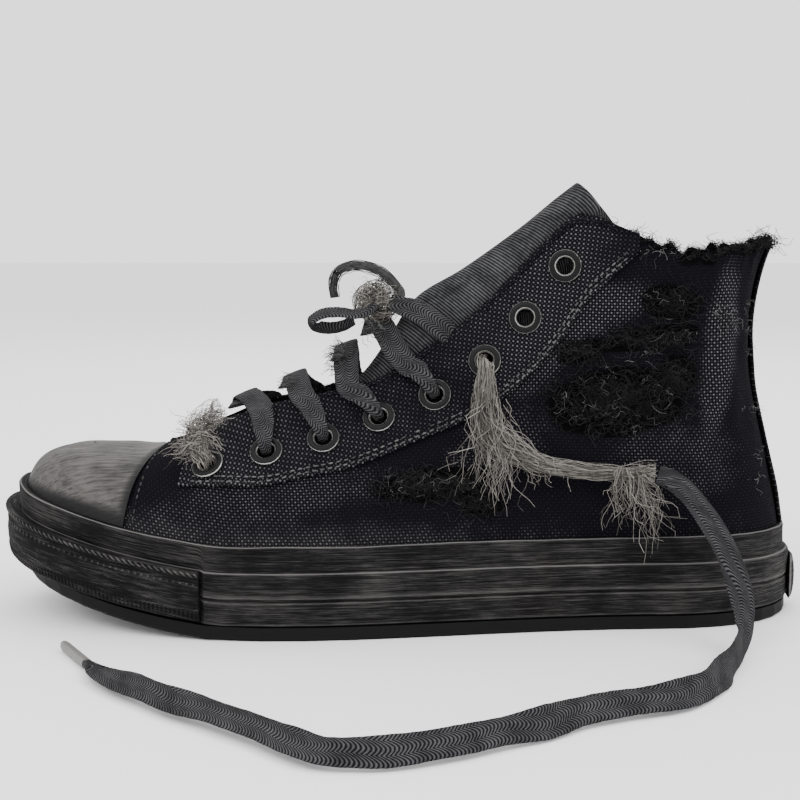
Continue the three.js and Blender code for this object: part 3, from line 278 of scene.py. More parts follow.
# Creases of the canvas seen from the side: a line from one x, z to another, its half width and
# how deep it goes (negative stands out), and the side that it is on, -1 outer, 1 inner
FOLDS = [
    # x from, z from, x to, z to, half width, depth, side
    (-72.0, 66.0, -54.0, 36.0, 4.5, 1.3, -1), (-58.0, 62.0, -42.0, 34.0, 5.0, -0.9, -1),
    (-44.0, 60.0, -30.0, 34.0, 4.5, 1.0, -1), (-16.0, 48.0, 6.0, 34.0, 6.0, 0.8, -1),
    (36.0, 76.0, 58.0, 40.0, 7.0, 1.1, -1), (50.0, 78.0, 74.0, 44.0, 6.0, -0.9, -1),
    (95.0, 124.0, 104.0, 96.0, 5.0, 1.2, -1), (114.0, 128.0, 118.0, 84.0, 4.5, -1.4, -1),
    (108.0, 92.0, 122.0, 52.0, 5.0, 1.3, -1), (122.0, 104.0, 130.0, 70.0, 4.0, 1.0, -1),
    (66.0, 52.0, 118.0, 44.0, 5.0, 0.9, -1), (62.0, 112.0, 100.0, 99.0, 3.5, 0.9, -1),
    (84.0, 66.0, 116.0, 78.0, 5.0, -0.9, -1), (64.0, 134.0, 84.0, 120.0, 5.0, 0.8, -1),
    (-70.0, 66.0, -50.0, 38.0, 5.0, 1.2, 1), (-46.0, 64.0, -30.0, 36.0, 5.0, 1.1, 1),
    (30.0, 84.0, 60.0, 46.0, 7.0, 1.3, 1), (56.0, 84.0, 90.0, 58.0, 6.0, -1.0, 1),
    (90.0, 120.0, 106.0, 82.0, 5.0, 1.3, 1), (110.0, 124.0, 120.0, 76.0, 5.0, -1.2, 1),
    (70.0, 52.0, 122.0, 46.0, 5.0, 0.9, 1), (114.0, 84.0, 128.0, 60.0, 4.0, 1.0, 1),
]

# Worn places of the canvas seen from the side: torn ones, painted near-black for the shade inside
# the tears, and rubbed pale ones; tilt in degrees
FRAYED = [
    # x, z, half length, half height, tilt, strength, side
    (79.0, 82.0, 27.0, 13.0, 8.0, 1.0, -1), (12.0, 53.0, 22.0, 6.0, 6.0, 1.0, -1),
    (90.0, 105.0, 20.0, 4.0, 12.0, 0.9, -1), (98.0, 118.0, 12.0, 7.0, -10.0, 0.9, -1),
    (66.0, 100.0, 10.0, 4.0, 20.0, 0.8, -1), (30.0, 46.0, 10.0, 4.0, 0.0, 0.8, -1),
    (100.0, 92.0, 8.0, 8.0, 0.0, 0.8, -1), (62.0, 84.0, 18.0, 10.0, -6.0, 0.9, 1),
    (96.0, 108.0, 14.0, 8.0, 10.0, 0.9, 1), (18.0, 58.0, 16.0, 7.0, 6.0, 0.8, 1),
]
PALE = [
    # x, z, half length, half height, tilt, strength, side
    (68.0, 114.0, 24.0, 9.0, 20.0, 0.9, -1), (36.0, 66.0, 22.0, 14.0, 30.0, 0.45, -1),
    (116.0, 100.0, 7.0, 36.0, -6.0, 0.8, -1), (100.0, 60.0, 26.0, 16.0, 0.0, 0.45, -1),
    (48.0, 96.0, 18.0, 10.0, 40.0, 0.7, -1), (-44.0, 50.0, 40.0, 9.0, 6.0, 0.5, -1),
    (60.0, 60.0, 40.0, 14.0, 0.0, 0.5, 1), (110.0, 96.0, 12.0, 30.0, 0.0, 0.7, 1),
    (-40.0, 52.0, 36.0, 10.0, 6.0, 0.5, 1), (60.0, 116.0, 24.0, 9.0, 20.0, 0.7, 1),
]


def column(rows, index, place):
    """Smooth value of a table's column at places along its first column."""
    keys, values = rows[:, 0], rows[:, index]
    last = len(rows) - 1
    place = np.clip(np.asarray(place, float), keys[0], keys[-1])
    i = np.clip(np.searchsorted(keys, place, side="right") - 1, 0, last - 1)
    before = np.maximum(np.arange(last + 1) - 1, 0)
    after = np.minimum(np.arange(last + 1) + 1, last)
    slope = (values[after] - values[before]) / (keys[after] - keys[before])
    span = keys[i + 1] - keys[i]
    u = (place - keys[i]) / span
    return ((2 * u**3 - 3 * u**2 + 1) * values[i] + (u**3 - 2 * u**2 + u) * span * slope[i]
            + (3 * u**2 - 2 * u**3) * values[i + 1] + (u**3 - u**2) * span * slope[i + 1])


def smooth(low, high, value):
    """Soft step from 0 at low to 1 at high."""
    u = np.clip((np.asarray(value, float) - low) / (high - low), 0, 1)
    return u * u * (3 - 2 * u)


def side_place(t):
    """Place along the side, 0 to 1, of a way round t."""
    way = np.mod(t, 2)
    return np.where(way <= 1, way, 2 - way)


def is_outer(t):
    """Whether a way round t is on the outer side."""
    return np.mod(t, 2) <= 1


def plan_point(t):
    """Point of the sole's outline in plan."""
    place = side_place(t)
    share = (1 - np.cos(np.pi * place)) / 2
    width = BALL_WIDTH + (HEEL_WIDTH - BALL_WIDTH) * smooth(0.3, 0.8, share)
    y = np.where(is_outer(t), -column(OUTLINE, 1, place), column(OUTLINE, 2, place)) * width
    return np.stack([(share - 0.5) * LENGTH, y], -1)


def plan_normal(t):
    """Outward normal of the sole's outline in plan."""
    step = 1e-3
    way = plan_point(t + step) - plan_point(t - step)
    way /= np.linalg.norm(way, axis=-1, keepdims=True)
    return np.stack([way[..., 1], -way[..., 0]], -1)


def lift(x):
    """Rise of the shoe off the floor at a length: its toe spring."""
    share = np.asarray(x, float) / LENGTH + 0.5
    return TOE_SPRING * np.clip((SPRING_FROM - share) / SPRING_FROM, 0, None) ** SPRING_POWER


def sole_point(t, out, height):
    """Point at a distance out from the sole's outline and a height over its underside."""
    t, out, height = np.broadcast_arrays(np.asarray(t, float), out, height)
    p = plan_point(t) + plan_normal(t) * out[..., None]
    return np.stack([p[..., 0], p[..., 1], height + lift(p[..., 0])], -1)


def last_point(t, rise):
    """Plain face of the upper from the sole, rise 0, to the top edge, rise 1."""
    t, rise = np.broadcast_arrays(np.asarray(t, float), np.asarray(rise, float))
    place = side_place(t)
    side = np.where(is_outer(t), -1.0, 1.0)
    row = {i: column(SECTIONS, i, place) for i in range(1, 9)}
    gap = np.where(place < THROAT_START, 0, np.maximum(0, row[GAP]))
    foot = sole_point(t, -FOXING_INSET, SOLE_TOP)
    x = (row[TOP_AT] - 0.5) * LENGTH
    swing = TOE_SWING * np.maximum(0, 1 - row[TOP_AT] / 0.4) ** 2
    height = (TOE_HEIGHT + row[CLIMB] * (FRONT_HEIGHT - TOE_HEIGHT)
              + row[FALL] * (COLLAR_HEIGHT - FRONT_HEIGHT))
    top = np.stack([x, swing + side * gap * COLLAR_WIDTH, height + lift(x)], -1)
    normal = plan_normal(t)
    out = np.concatenate([normal, np.zeros_like(normal[..., :1])], -1)
    wall = top[..., 2] - foot[..., 2]
    low = foot + out * row[LOW_OUT][..., None]
    low[..., 2] += row[LOW_RISE] * wall
    high = top + out * row[HIGH_OUT][..., None]
    high[..., 2] -= row[HIGH_DROP] * wall
    r = rise[..., None]
    return (foot * (1 - r) ** 3 + low * 3 * (1 - r) ** 2 * r + high * 3 * (1 - r) * r**2
            + top * r**3)


def last_normal(t, rise):
    """Outward normal of the upper's plain face."""
    t, rise = np.broadcast_arrays(np.asarray(t, float), np.asarray(rise, float))
    step = 2e-3
    round_it = last_point(t + step, rise) - last_point(t - step, rise)
    up = last_point(t, np.minimum(1, rise + step)) - last_point(t, np.maximum(0, rise - step))
    normal = np.cross(round_it, up)
    normal /= np.maximum(np.linalg.norm(normal, axis=-1, keepdims=True), 1e-9)
    ridge = (rise > 0.999) & (side_place(t) <= THROAT_START + 1e-6)
    return np.where(ridge[..., None], np.array([0.0, 0.0, 1.0]), normal)


def wall_point(t, rise, out):
    """Point at a distance out from the upper's plain face."""
    out = np.asarray(out, float)
    return last_point(t, rise) + last_normal(t, rise) * out[..., None]


def lap_over(t):
    """How far the canvas stands out where it laps over the rear edge of the toe cap."""
    place = side_place(t)
    lap = VAMP_LAP * (1 - smooth(CAP_EDGE + 0.01, 0.4, place))
    return np.where(place < CAP_EDGE + 0.004, 0, lap)


def rise_at(t, height):
    """Rise up the wall at a height over the sole's underside."""
    t = np.asarray(t, float)
    low, high = np.zeros_like(t), np.ones_like(t)
    for _ in range(24):
        middle = (low + high) / 2
        p = last_point(t, middle)
        under = p[..., 2] - lift(p[..., 0]) < height
        low, high = np.where(under, middle, low), np.where(under, high, middle)
    return (low + high) / 2


def noise(x, y, seed, octaves=3):
    """Soft irregular value about 0 from a few turned waves."""
    random = np.random.default_rng(seed)
    total = np.zeros(np.broadcast(x, y).shape)
    for k in range(octaves):
        for _ in range(4):
            angle, phase = random.uniform(0, 2 * np.pi, 2)
            turn = 1.8**k
            total += np.sin(turn * (x * np.cos(angle) + y * np.sin(angle)) + phase) / turn
    return total / 4


def spot_field(points, outer, spots):
    """Strength 0 to 1 of the listed oval places at points of the upper."""
    field = np.zeros(len(points))
    side = np.where(outer, -1, 1)
    for x, z, long, high, tilt, strength, where in spots:
        c, s = math.cos(math.radians(tilt)), math.sin(math.radians(tilt))
        dx, dz = points[:, 0] - x, points[:, 2] - z
        u, v = (dx * c + dz * s) / long, (-dx * s + dz * c) / high
        reach = np.sqrt(u * u + v * v)
        one = strength * (1 - smooth(0.55, 1.35, reach)) * (side == where)
        field = np.maximum(field, one)
    return field


def fold_relief(points, outer):
    """Distance that the creases move the canvas out, negative inwards."""
    relief = np.zeros(len(points))
    side = np.where(outer, -1, 1)
    for x0, z0, x1, z1, half, deep, where in FOLDS:
        way = np.array([x1 - x0, z1 - z0])
        long = np.linalg.norm(way)
        way /= long
        dx, dz = points[:, 0] - x0, points[:, 2] - z0
        along = dx * way[0] + dz * way[1]
        bend = 2.5 * np.sin(along / long * np.pi * 1.3)
        across = -dx * way[1] + dz * way[0] - bend
        end = smooth(-8, 6, along) * (1 - smooth(long - 6, long + 8, along))
        relief -= deep * np.exp(-((across / half) ** 2)) * end * (side == where)
    return relief


def metres(points):
    """Points in millimetres of the shoe's frame, in metres of the scene."""
    return (np.asarray(points, float) + SHIFT) * MM


def spline(points, count):
    """Evenly counted points of a smooth line through the given ones."""
    p = np.asarray(points, float)
    padded = np.vstack([2 * p[0] - p[1], p, 2 * p[-1] - p[-2]])
    u = np.linspace(0, len(p) - 1, count)
    i = np.minimum(u.astype(int), len(p) - 2)
    f = (u - i)[:, None]
    a, b, c, d = padded[i], padded[i + 1], padded[i + 2], padded[i + 3]
    return 0.5 * (2 * b + (c - a) * f + (2 * a - 5 * b + 4 * c - d) * f**2
                  + (3 * b - a - 3 * c + d) * f**3)


def way_along(line):
    """Length gone along a line at each of its points."""
    return np.concatenate([[0], np.cumsum(np.linalg.norm(np.diff(line, axis=0), axis=1))])


def between(at, gone, values):
    """Points or normals read off a line's own ones at other lengths along it."""
    return np.stack([np.interp(at, gone, values[:, k]) for k in range(3)], -1)


def evened(line, count):
    """The same line with its points spaced evenly."""
    gone = way_along(line)
    return between(np.linspace(0, gone[-1], count), gone, line)


def unit(v):
    """Vectors scaled to length one."""
    return v / np.maximum(np.linalg.norm(v, axis=-1, keepdims=True), 1e-9)


# Helpers that make and finish pieces
def alone(piece):
    """Makes one piece the only selected and active one."""
    bpy.ops.object.select_all(action="DESELECT")
    piece.select_set(True)
    bpy.context.view_layer.objects.active = piece


def edit_all(piece, *steps):
    """Runs edit-mode operators, each an operator with its settings, on all of a piece."""
    alone(piece)
    bpy.ops.object.mode_set(mode="EDIT")
    bpy.ops.mesh.select_all(action="SELECT")
    for step, settings in steps:
        step(**settings)
    bpy.ops.object.mode_set(mode="OBJECT")


def with_modifier(piece, kind, **settings):
    """Adds a modifier, sets it and applies it."""
    alone(piece)
    bpy.ops.object.modifier_add(type=kind)
    modifier = piece.modifiers[-1]
    for key, value in settings.items():
        setattr(modifier, key, value)
    bpy.ops.object.modifier_apply(modifier=modifier.name)


def rounded(piece, degrees=50):
    """Shades a piece smooth but for its sharp edges."""
    alone(piece)
    bpy.ops.object.shade_smooth_by_angle(angle=math.radians(degrees))


def write_attribute(piece, name, values):
    """Stores one number for each vertex under a name that a material reads."""
    layer = piece.data.attributes.new(name=name, type="FLOAT", domain="POINT")
    layer.data.foreach_set("value", np.asarray(values, np.float32).ravel())


def without_faces(piece, centres, radius):
    """Takes out a piece's faces round the axes through some centres."""
    mesh = piece.data
    middle = np.empty(len(mesh.polygons) * 3)
    mesh.polygons.foreach_get("center", middle)
    middle = middle.reshape(-1, 3)
    near = np.zeros(len(middle), bool)
    for centre, axis in centres:
        way = middle * 1000 - SHIFT - centre
        along_axis = way @ axis
        away = np.linalg.norm(way - along_axis[:, None] * axis, axis=1)
        near |= (away < radius) & (np.abs(along_axis) < 8)
    alone(piece)
    bpy.ops.object.mode_set(mode="EDIT")
    bpy.ops.mesh.select_mode(type="FACE")
    bpy.ops.mesh.select_all(action="DESELECT")
    bpy.ops.object.mode_set(mode="OBJECT")
    mesh.polygons.foreach_set("select", near)
    bpy.ops.object.mode_set(mode="EDIT")
    bpy.ops.mesh.delete(type="FACE")
    bpy.ops.object.mode_set(mode="OBJECT")


def surface(name, across, up, place, fields=None, thick=0.0, offset=-1.0, fill=False,
            drop=None, sharp=50, merge=2e-5, grain=None, clamp=0.0):
    """A grid laid on a place function of a and b from 0 to 1, with lengths in mm as its UV.

    fields gives further vertex values, drop holds the centres with their axes and the radius
    round which faces are taken out, and grain is the angle in degrees of a flat weave seen from
    the side, in place of the lengths.
    """
    bpy.ops.object.select_all(action="DESELECT")
    bpy.ops.mesh.primitive_grid_add(x_subdivisions=across, y_subdivisions=up, size=1)
    piece = bpy.context.object
    piece.name = piece.data.name = name
    mesh = piece.data
    flat = np.empty(len(mesh.vertices) * 3)
    mesh.vertices.foreach_get("co", flat)
    flat = flat.reshape(-1, 3)
    i = np.rint((flat[:, 0] + 0.5) * across).astype(int)
    j = np.rint((flat[:, 1] + 0.5) * up).astype(int)
    a, b = np.meshgrid(np.linspace(0, 1, across + 1), np.linspace(0, 1, up + 1), indexing="ij")
    grid = place(a.ravel(), b.ravel()).reshape(across + 1, up + 1, 3)
    mesh.vertices.foreach_set("co", metres(grid[i, j]).ravel())
    along = np.zeros(grid.shape[:2])
    along[1:] = np.cumsum(np.linalg.norm(np.diff(grid, axis=0), axis=2), axis=0)
    along -= along[across // 2]
    over = np.zeros(grid.shape[:2])
    over[:, 1:] = np.cumsum(np.linalg.norm(np.diff(grid, axis=1), axis=2), axis=1)
    uv = np.stack([along[i, j], over[i, j]], -1)
    if grain is not None:
        c, s = math.cos(math.radians(grain)), math.sin(math.radians(grain))
        x, z = grid[i, j][:, 0], grid[i, j][:, 2]
        uv = np.stack([x * c + z * s, z * c - x * s], -1)
    corner = np.empty(len(mesh.loops), int)
    mesh.loops.foreach_get("vertex_index", corner)
    mesh.uv_layers[0].data.foreach_set("uv", uv[corner].ravel())
    for key, values in (fields(a[i, j], b[i, j], grid[i, j]) if fields else {}).items():
        write_attribute(piece, key, values)
    mesh.update()
    if drop is not None:
        without_faces(piece, *drop)
    steps = [(bpy.ops.mesh.remove_doubles, {"threshold": merge})]
    if fill:
        steps.append((bpy.ops.mesh.fill_holes, {"sides": 0}))
    edit_all(piece, *steps)
    if thick:
        with_modifier(piece, "SOLIDIFY", thickness=thick * MM, offset=offset,
                      thickness_clamp=clamp)
    rounded(piece, sharp)
    return piece


def from_arrays(name, points, faces, fields=None):
    """A piece joined from many small copies, given as points in mm and faces."""
    mesh = bpy.data.meshes.new(name)
    mesh.from_pydata(metres(points), [], faces)
    piece = bpy.data.objects.new(name, mesh)
    bpy.context.collection.objects.link(piece)
    for key, values in (fields or {}).items():
        write_attribute(piece, key, values)
    mesh.update()
    rounded(piece, 60)
    return piece


def strands(name, lines, radius, tones):
    """Thin three-sided threads along lines of equal point count, joined in one piece."""
    lines = np.asarray(lines, float)
    count, steps = lines.shape[:2]
    way = unit(np.gradient(lines, axis=1))
    helper = np.where(np.abs(way[..., 2:]) > 0.8, [1.0, 0, 0], [0, 0, 1.0])
    side = unit(np.cross(way, helper))
    up = np.cross(side, way)
    taper = np.linspace(1, 0.6, steps)[None, :, None]
    radius = np.broadcast_to(radius, (count,))[:, None, None]
    rings = []
    for k in range(3):
        angle = 2 * np.pi * k / 3
        rings.append(lines + (side * math.cos(angle) + up * math.sin(angle)) * radius * taper)
    points = np.stack(rings, 2).reshape(-1, 3)
    base = (np.arange(count)[:, None] * steps + np.arange(steps - 1)[None]) * 3
    base = base.reshape(-1)
    faces = []
    for k in range(3):
        m = (k + 1) % 3
        faces.append(np.stack([base + k, base + m, base + 3 + m, base + 3 + k], -1))
    faces = np.concatenate(faces).tolist()
    first = (np.arange(count) * steps) * 3
    last = first + (steps - 1) * 3
    faces += np.stack([first + 2, first + 1, first], -1).tolist()
    faces += np.stack([last, last + 1, last + 2], -1).tolist()
    tone = np.repeat(tones, steps * 3)
    return from_arrays(name, points, faces, {"tone": tone})


RIBBON_AROUND = 16


def ribbon(name, line, faces, widths, thick, uneven=0.0, seed=1, sharp=60):
    """A flat woven band along a line, its face turned to the given normals, held off the floor."""
    line = np.asarray(line, float)
    count = len(line)
    way = unit(np.gradient(line, axis=0))
    side = unit(np.cross(way, faces))
    face = np.cross(side, way)
    widths = np.broadcast_to(widths, (count,)).astype(float)
    ragged = noise(np.arange(count) * 0.9, np.zeros(count), seed) * uneven

    def place(a, b):
        i = np.rint(a * (count - 1)).astype(int)
        angle = 2 * np.pi * b
        c, s = np.cos(angle), np.sin(angle)
        u = np.sign(c) * np.abs(c) ** 0.7 * (widths[i] + ragged[i] * np.sign(c)) / 2
        v = np.sign(s) * np.abs(s) ** 0.8 * thick / 2
        points = line[i] + side[i] * u[:, None] - face[i] * v[:, None]
        points[:, 2] = np.maximum(points[:, 2], FLOOR_REST)
        return points

    return surface(name, count - 1, RIBBON_AROUND, place, fill=True, sharp=sharp)


# Materials
class Value:
    """A socket that adds its own Math nodes when it is used in an expression."""

    def __init__(self, paint, socket):
        self.paint = paint
        self.socket = socket

    def math(self, operation, *others):
        """A Math node on this value and others."""
        values = dict(enumerate((self, *others)))
        return self.paint.add("ShaderNodeMath", {"operation": operation}, values)

    def swapped(self, operation, other):
        """A Math node with the other value first."""
        return self.paint.add("ShaderNodeMath", {"operation": operation}, {0: other, 1: self})

    def __add__(self, other):
        return self.math("ADD", other)

    __radd__ = __add__

    def __mul__(self, other):
        return self.math("MULTIPLY", other)

    __rmul__ = __mul__

    def __sub__(self, other):
        return self.math("SUBTRACT", other)

    def __rsub__(self, other):
        return self.swapped("SUBTRACT", other)

    def step(self, low, high):
        """Soft step from 0 at low to 1 at high."""
        settings = {"interpolation_type": "SMOOTHSTEP"}
        return self.paint.add("ShaderNodeMapRange", settings,
                              {"Value": self, "From Min": low, "From Max": high})


# Materials made here, by name
MADE = {}


class Paint:
    """Builds the nodes of one material and keeps it by its name."""

    def __init__(self, name, roughness=0.8, specular=0.5):
        self.material = bpy.data.materials.new(name)
        MADE[name] = self.material
        self.material.use_nodes = True
        self.tree = self.material.node_tree
        self.tree.nodes.clear()
        self.shader = self.tree.nodes.new("ShaderNodeBsdfPrincipled")
        self.shader.inputs["Roughness"].default_value = roughness
        self.shader.inputs["Specular IOR Level"].default_value = specular
        output = self.tree.nodes.new("ShaderNodeOutputMaterial")
        self.tree.links.new(self.shader.outputs[0], output.inputs[0])

    def add(self, kind, settings, values, out=0):
        """Adds a node with its settings first, then the values or links of its sockets."""
        node = self.tree.nodes.new(kind)
        for key, value in settings.items():
            setattr(node, key, value)
        for key, value in values.items():
            self.join(value, node.inputs[key])
        return Value(self, node.outputs[out])

    def join(self, value, socket):
        """Links a value to a socket or writes a plain one into it."""
        if isinstance(value, Value):
            self.tree.links.new(value.socket, socket)
        else:
            socket.default_value = value

    def set(self, **values):
        """Feeds the shader's sockets, spaces of their names written as underscores."""
        for key, value in values.items():
            self.join(value, self.shader.inputs[key.replace("_", " ")])

    def attribute(self, name):
        """A vertex value stored on the piece."""
        return self.add("ShaderNodeAttribute", {"attribute_name": name}, {}, out="Fac")

    def place(self):
        """Place on the object, as a vector."""
        return self.add("ShaderNodeTexCoord", {}, {}, out="Object")

    def lengths(self):
        """The two UV lengths in millimetres."""
        uv = self.add("ShaderNodeTexCoord", {}, {}, out="UV")
        split = self.add("ShaderNodeSeparateXYZ", {}, {0: uv})
        node = split.socket.node
        return uv, Value(self, node.outputs[0]), Value(self, node.outputs[1])

    def noise(self, vector, scale, detail=3.0, stretch=None, roughness=0.55):
        """Noise about 0.5 on a vector, drawn out along its axes by stretch."""
        if stretch:
            vector = self.add("ShaderNodeMapping", {}, {"Vector": vector, "Scale": stretch})
        return self.add("ShaderNodeTexNoise", {}, {
            "Vector": vector, "Scale": scale, "Detail": detail, "Roughness": roughness})

    def mix(self, factor, first, second):
        """Colour between two colours."""
        node = self.tree.nodes.new("ShaderNodeMix")
        node.data_type = "RGBA"
        self.join(factor, node.inputs[0])
        for value, socket in ((first, node.inputs[6]), (second, node.inputs[7])):
            self.join(value if isinstance(value, Value) else (*value[:3], 1.0), socket)
        return Value(self, node.outputs[2])

    def bump(self, height, distance, strength=1.0):
        """Normal from a height in metres' share."""
        return self.add("ShaderNodeBump", {}, {
            "Height": height, "Distance": distance, "Strength": strength})


def ripple(value, pitch):
    """Rounded bumps along a length, 0 between and 1 on top."""
    return (value * (math.pi / pitch)).math("SINE").math("ABSOLUTE")


def weave_of(u, v, pitch):
    """Plain weave: bumps where threads cross, warp and weft on top in turn."""
    warp = (u * (math.pi / pitch)).math("SINE")
    weft = (v * (math.pi / pitch)).math("SINE")
    over = (warp * weft) * 0.5 + 0.5
    each = warp.math("ABSOLUTE") * weft.math("ABSOLUTE")
    return each * (over * 0.55 + 0.45)


def canvas_material(name, settings, pitch):
    """Black painted canvas with pale worn weave, partly painted highlights on its crossings, dust,
    and torn places painted near-black for the shade inside the tears.
    """
    paint = Paint(name, roughness=0.92, specular=0.035)
    uv, u, v = paint.lengths()
    wobble = paint.noise(uv, 0.09, 2.0)
    weave = weave_of(u + wobble * 0.9, v + wobble * 0.6, pitch)
    pale = paint.attribute("pale")
    fray_and_shade = paint.attribute("fray_and_shade")
    dust = paint.attribute("dust")
    patchy = paint.noise(uv, 0.12, 6.0, roughness=0.7)
    grain = paint.noise(uv, 1.4, 4.0)
    ragged = (fray_and_shade + (patchy - 0.5) * 0.9 + (grain - 0.5) * 0.5).step(0.42, 0.6)
    wear = (pale * 0.95 + dust * 0.65 + patchy * 1.1 - 0.62).step(0.0, 0.75)
    # Pale spots on the weave's crossings: worn thread where the paint is worn, and painted
    # highlights on the crossings
    knots = (weave * (grain * 0.9 + 0.55)).step(0.25, 0.85)
    light = knots * (wear * 0.9 + 0.05) * (1 - ragged * 0.9)
    # Torn places and edge bands painted near-black: painted shade inside the tears
    base = paint.mix(ragged, settings.canvas_colour, (0.0012, 0.0012, 0.0015))
    haze = (dust * (patchy * 1.2 + 0.1) * 0.4).step(0.0, 1.0)
    base = paint.mix(haze, base, (0.040, 0.039, 0.040))
    colour = paint.mix(light, base, settings.worn_and_highlight_colour)
    height = weave * (1 - ragged * 0.5) + ragged * grain * 1.6 - ragged * 0.8 + patchy * 0.5
    paint.set(Base_Color=colour, Normal=paint.bump(height, 0.0004, 0.85),
              Roughness=0.95 - light * 0.3)
    return paint.material


# Distance from rib to rib of the tongue
TONGUE_RIB = 1.15


def tongue_material(settings):
    """Grey twill with fine ribs across the tongue."""
    paint = Paint("tongue_cloth", roughness=0.92, specular=0.04)
    uv, u, v = paint.lengths()
    fuzz = paint.noise(uv, 0.5, 5.0)
    ribs = ripple(v + u * 0.28 + fuzz * 0.3, TONGUE_RIB)
    worn = paint.noise(uv, 0.09, 5.0)
    tone = (ribs * (worn * 1.3 + 0.1) * (fuzz + 0.35)).step(0.1, 0.95)
    colour = paint.mix(tone, (0.006, 0.006, 0.0075), settings.tongue_colour)
    paint.set(Base_Color=colour, Normal=paint.bump(ribs + fuzz * 0.4, 0.0004, 0.9))
    return paint.material


def rubber_material(name, dark, light, streak, gloss=0.55):
    """Rubber painted dark and brushed, its streaks along the band, edges rubbed pale."""
    paint = Paint(name, roughness=gloss, specular=0.085)
    uv, u, v = paint.lengths()
    edge = paint.attribute("edge")
    long = paint.noise(uv, 1.0, 6.0, stretch=(0.035, streak, 1.0), roughness=0.7)
    fine = paint.noise(uv, 1.0, 4.0, stretch=(0.12, streak * 3.2, 1.0), roughness=0.7)
    blotch = paint.noise(uv, 0.035, 4.0)
    scuff = (long * 0.9 + fine * 1.0 + blotch * 0.6 - 1.16).step(0.0, 0.5)
    colour = paint.mix(scuff, dark, light)
    earthy = (paint.noise(paint.place(), 26.0, 3.0) - 0.5).step(0.1, 0.3) * scuff * 0.5
    colour = paint.mix(earthy, colour, (0.10, 0.066, 0.05))
    rubbed = (edge * (fine * 1.3 + blotch * 0.6)).step(0.25, 1.0)
    colour = paint.mix(rubbed, colour, (0.115, 0.11, 0.107))
    paint.set(Base_Color=colour, Roughness=gloss + 0.25 - scuff * 0.25,
              Normal=paint.bump(long * 0.5 + fine * 0.7, 0.0005, 0.7))
    return paint.material


def cap_material():
    """Smooth grey rubber with slanting scuffs and painted shade along its foot and rear edge."""
    paint = Paint("cap_rubber", roughness=0.5, specular=0.12)
    place = paint.place()
    turned = paint.add("ShaderNodeMapping", {}, {
        "Vector": place, "Rotation": (0.0, 0.5, math.radians(38)), "Scale": (60.0, 420.0, 160.0)})
    brushed = paint.add("ShaderNodeTexNoise", {}, {
        "Vector": turned, "Scale": 1.0, "Detail": 6.0, "Roughness": 0.7})
    hairlines = paint.add("ShaderNodeMapping", {}, {
        "Vector": place, "Rotation": (0.0, 0.75, math.radians(30)),
        "Scale": (90.0, 1300.0, 900.0)})
    scratched = paint.add("ShaderNodeTexNoise", {}, {
        "Vector": hairlines, "Scale": 1.0, "Detail": 3.0, "Roughness": 0.6})
    blotch = paint.noise(place, 55.0, 6.0, roughness=0.65)
    foot = paint.attribute("edge")
    tone = (brushed * 0.6 + scratched * 0.9 + blotch * 0.8 - 0.72).step(0.05, 0.75)
    colour = paint.mix(tone, (0.010, 0.0095, 0.0095), (0.082, 0.077, 0.073))
    # Painted shade: near-black along the foot under the foxing rim and along the rear edge under
    # the canvas lap
    colour = paint.mix((foot * (blotch + 0.55)).step(0.2, 0.9), colour, (0.007, 0.0065, 0.007))
    paint.set(Base_Color=colour, Roughness=0.62 - tone * 0.12,
              Normal=paint.bump(brushed + scratched, 0.0003, 0.6))
    return paint.material


# Distance from the lace's edge to its middle line, round its face, where its strands meet
LACE_RIB = 4.6


def lace_material(name, dark, light, pitch):
    """Flat woven lace: slanting strands that meet along the middle, with painted highlights on the
    strands and painted shade between them.
    """
    paint = Paint(name, roughness=0.88, specular=0.05)
    uv, u, v = paint.lengths()
    fuzz = paint.noise(uv, 1.2, 4.0)
    middle = ripple(v, LACE_RIB)
    slant = ripple(u + middle * 2.2 + fuzz * 0.25, pitch)
    worn = paint.noise(uv, 0.12, 5.0)
    # Painted highlights along the strands' tops and painted shade between them, uneven over the
    # lace
    tone = (slant * (fuzz * 0.9 + 0.4) * (worn * 1.1 + 0.3)).step(0.15, 0.95)
    colour = paint.mix(tone, dark, light)
    paint.set(Base_Color=colour, Normal=paint.bump(slant + fuzz * 0.35, 0.00045, 0.9))
    return paint.material


def thread_material(name, dark, light):
    """Loose threads, each with its own tone."""
    paint = Paint(name, roughness=0.92, specular=0.05)
    tone = paint.attribute("tone")
    spot = paint.noise(paint.place(), 420.0, 2.0)
    colour = paint.mix((tone * 0.75 + spot * 0.5 - 0.12).step(0.0, 1.0), dark, light)
    paint.set(Base_Color=colour)
    return paint.material


def eyelet_material():
    """Metal painted black, bare along its rubbed rims."""
    paint = Paint("eyelet_metal", roughness=0.42, specular=0.12)
    rub = paint.attribute("rub")
    chips = paint.noise(paint.place(), 900.0, 4.0)
    bare = (rub * 1.15 + chips * 0.8 - 0.75).step(0.25, 0.55)
    colour = paint.mix(bare, (0.0035, 0.0035, 0.004), (0.42, 0.405, 0.385))
    paint.set(Base_Color=colour, Metallic=bare * 0.9, Roughness=0.5 - bare * 0.2,
              Normal=paint.bump(chips, 0.0002, 0.4))
    return paint.material


def plain_material(name, colour, roughness, specular=0.4):
    """One dull colour with a faint grain."""
    paint = Paint(name, roughness=roughness, specular=specular)
    grain = paint.noise(paint.place(), 500.0, 4.0)
    dark = tuple(c * 0.75 for c in colour[:3])
    paint.set(Base_Color=paint.mix(grain, dark, colour), Normal=paint.bump(grain, 0.0002, 0.4))
    return paint.material


def painted(name, material):
    """Gives a CAD node that stays in sight a material."""
    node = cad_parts[name]
    node.data.materials.clear()
    node.data.materials.append(material)


def dressed(piece, material, nodes=()):
    """Gives a piece its material and body, and hides the CAD nodes that it stands for."""
    piece.data.materials.clear()
    piece.data.materials.append(material)
    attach(piece, "root")
    if nodes:
        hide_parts(*nodes)
    return piece


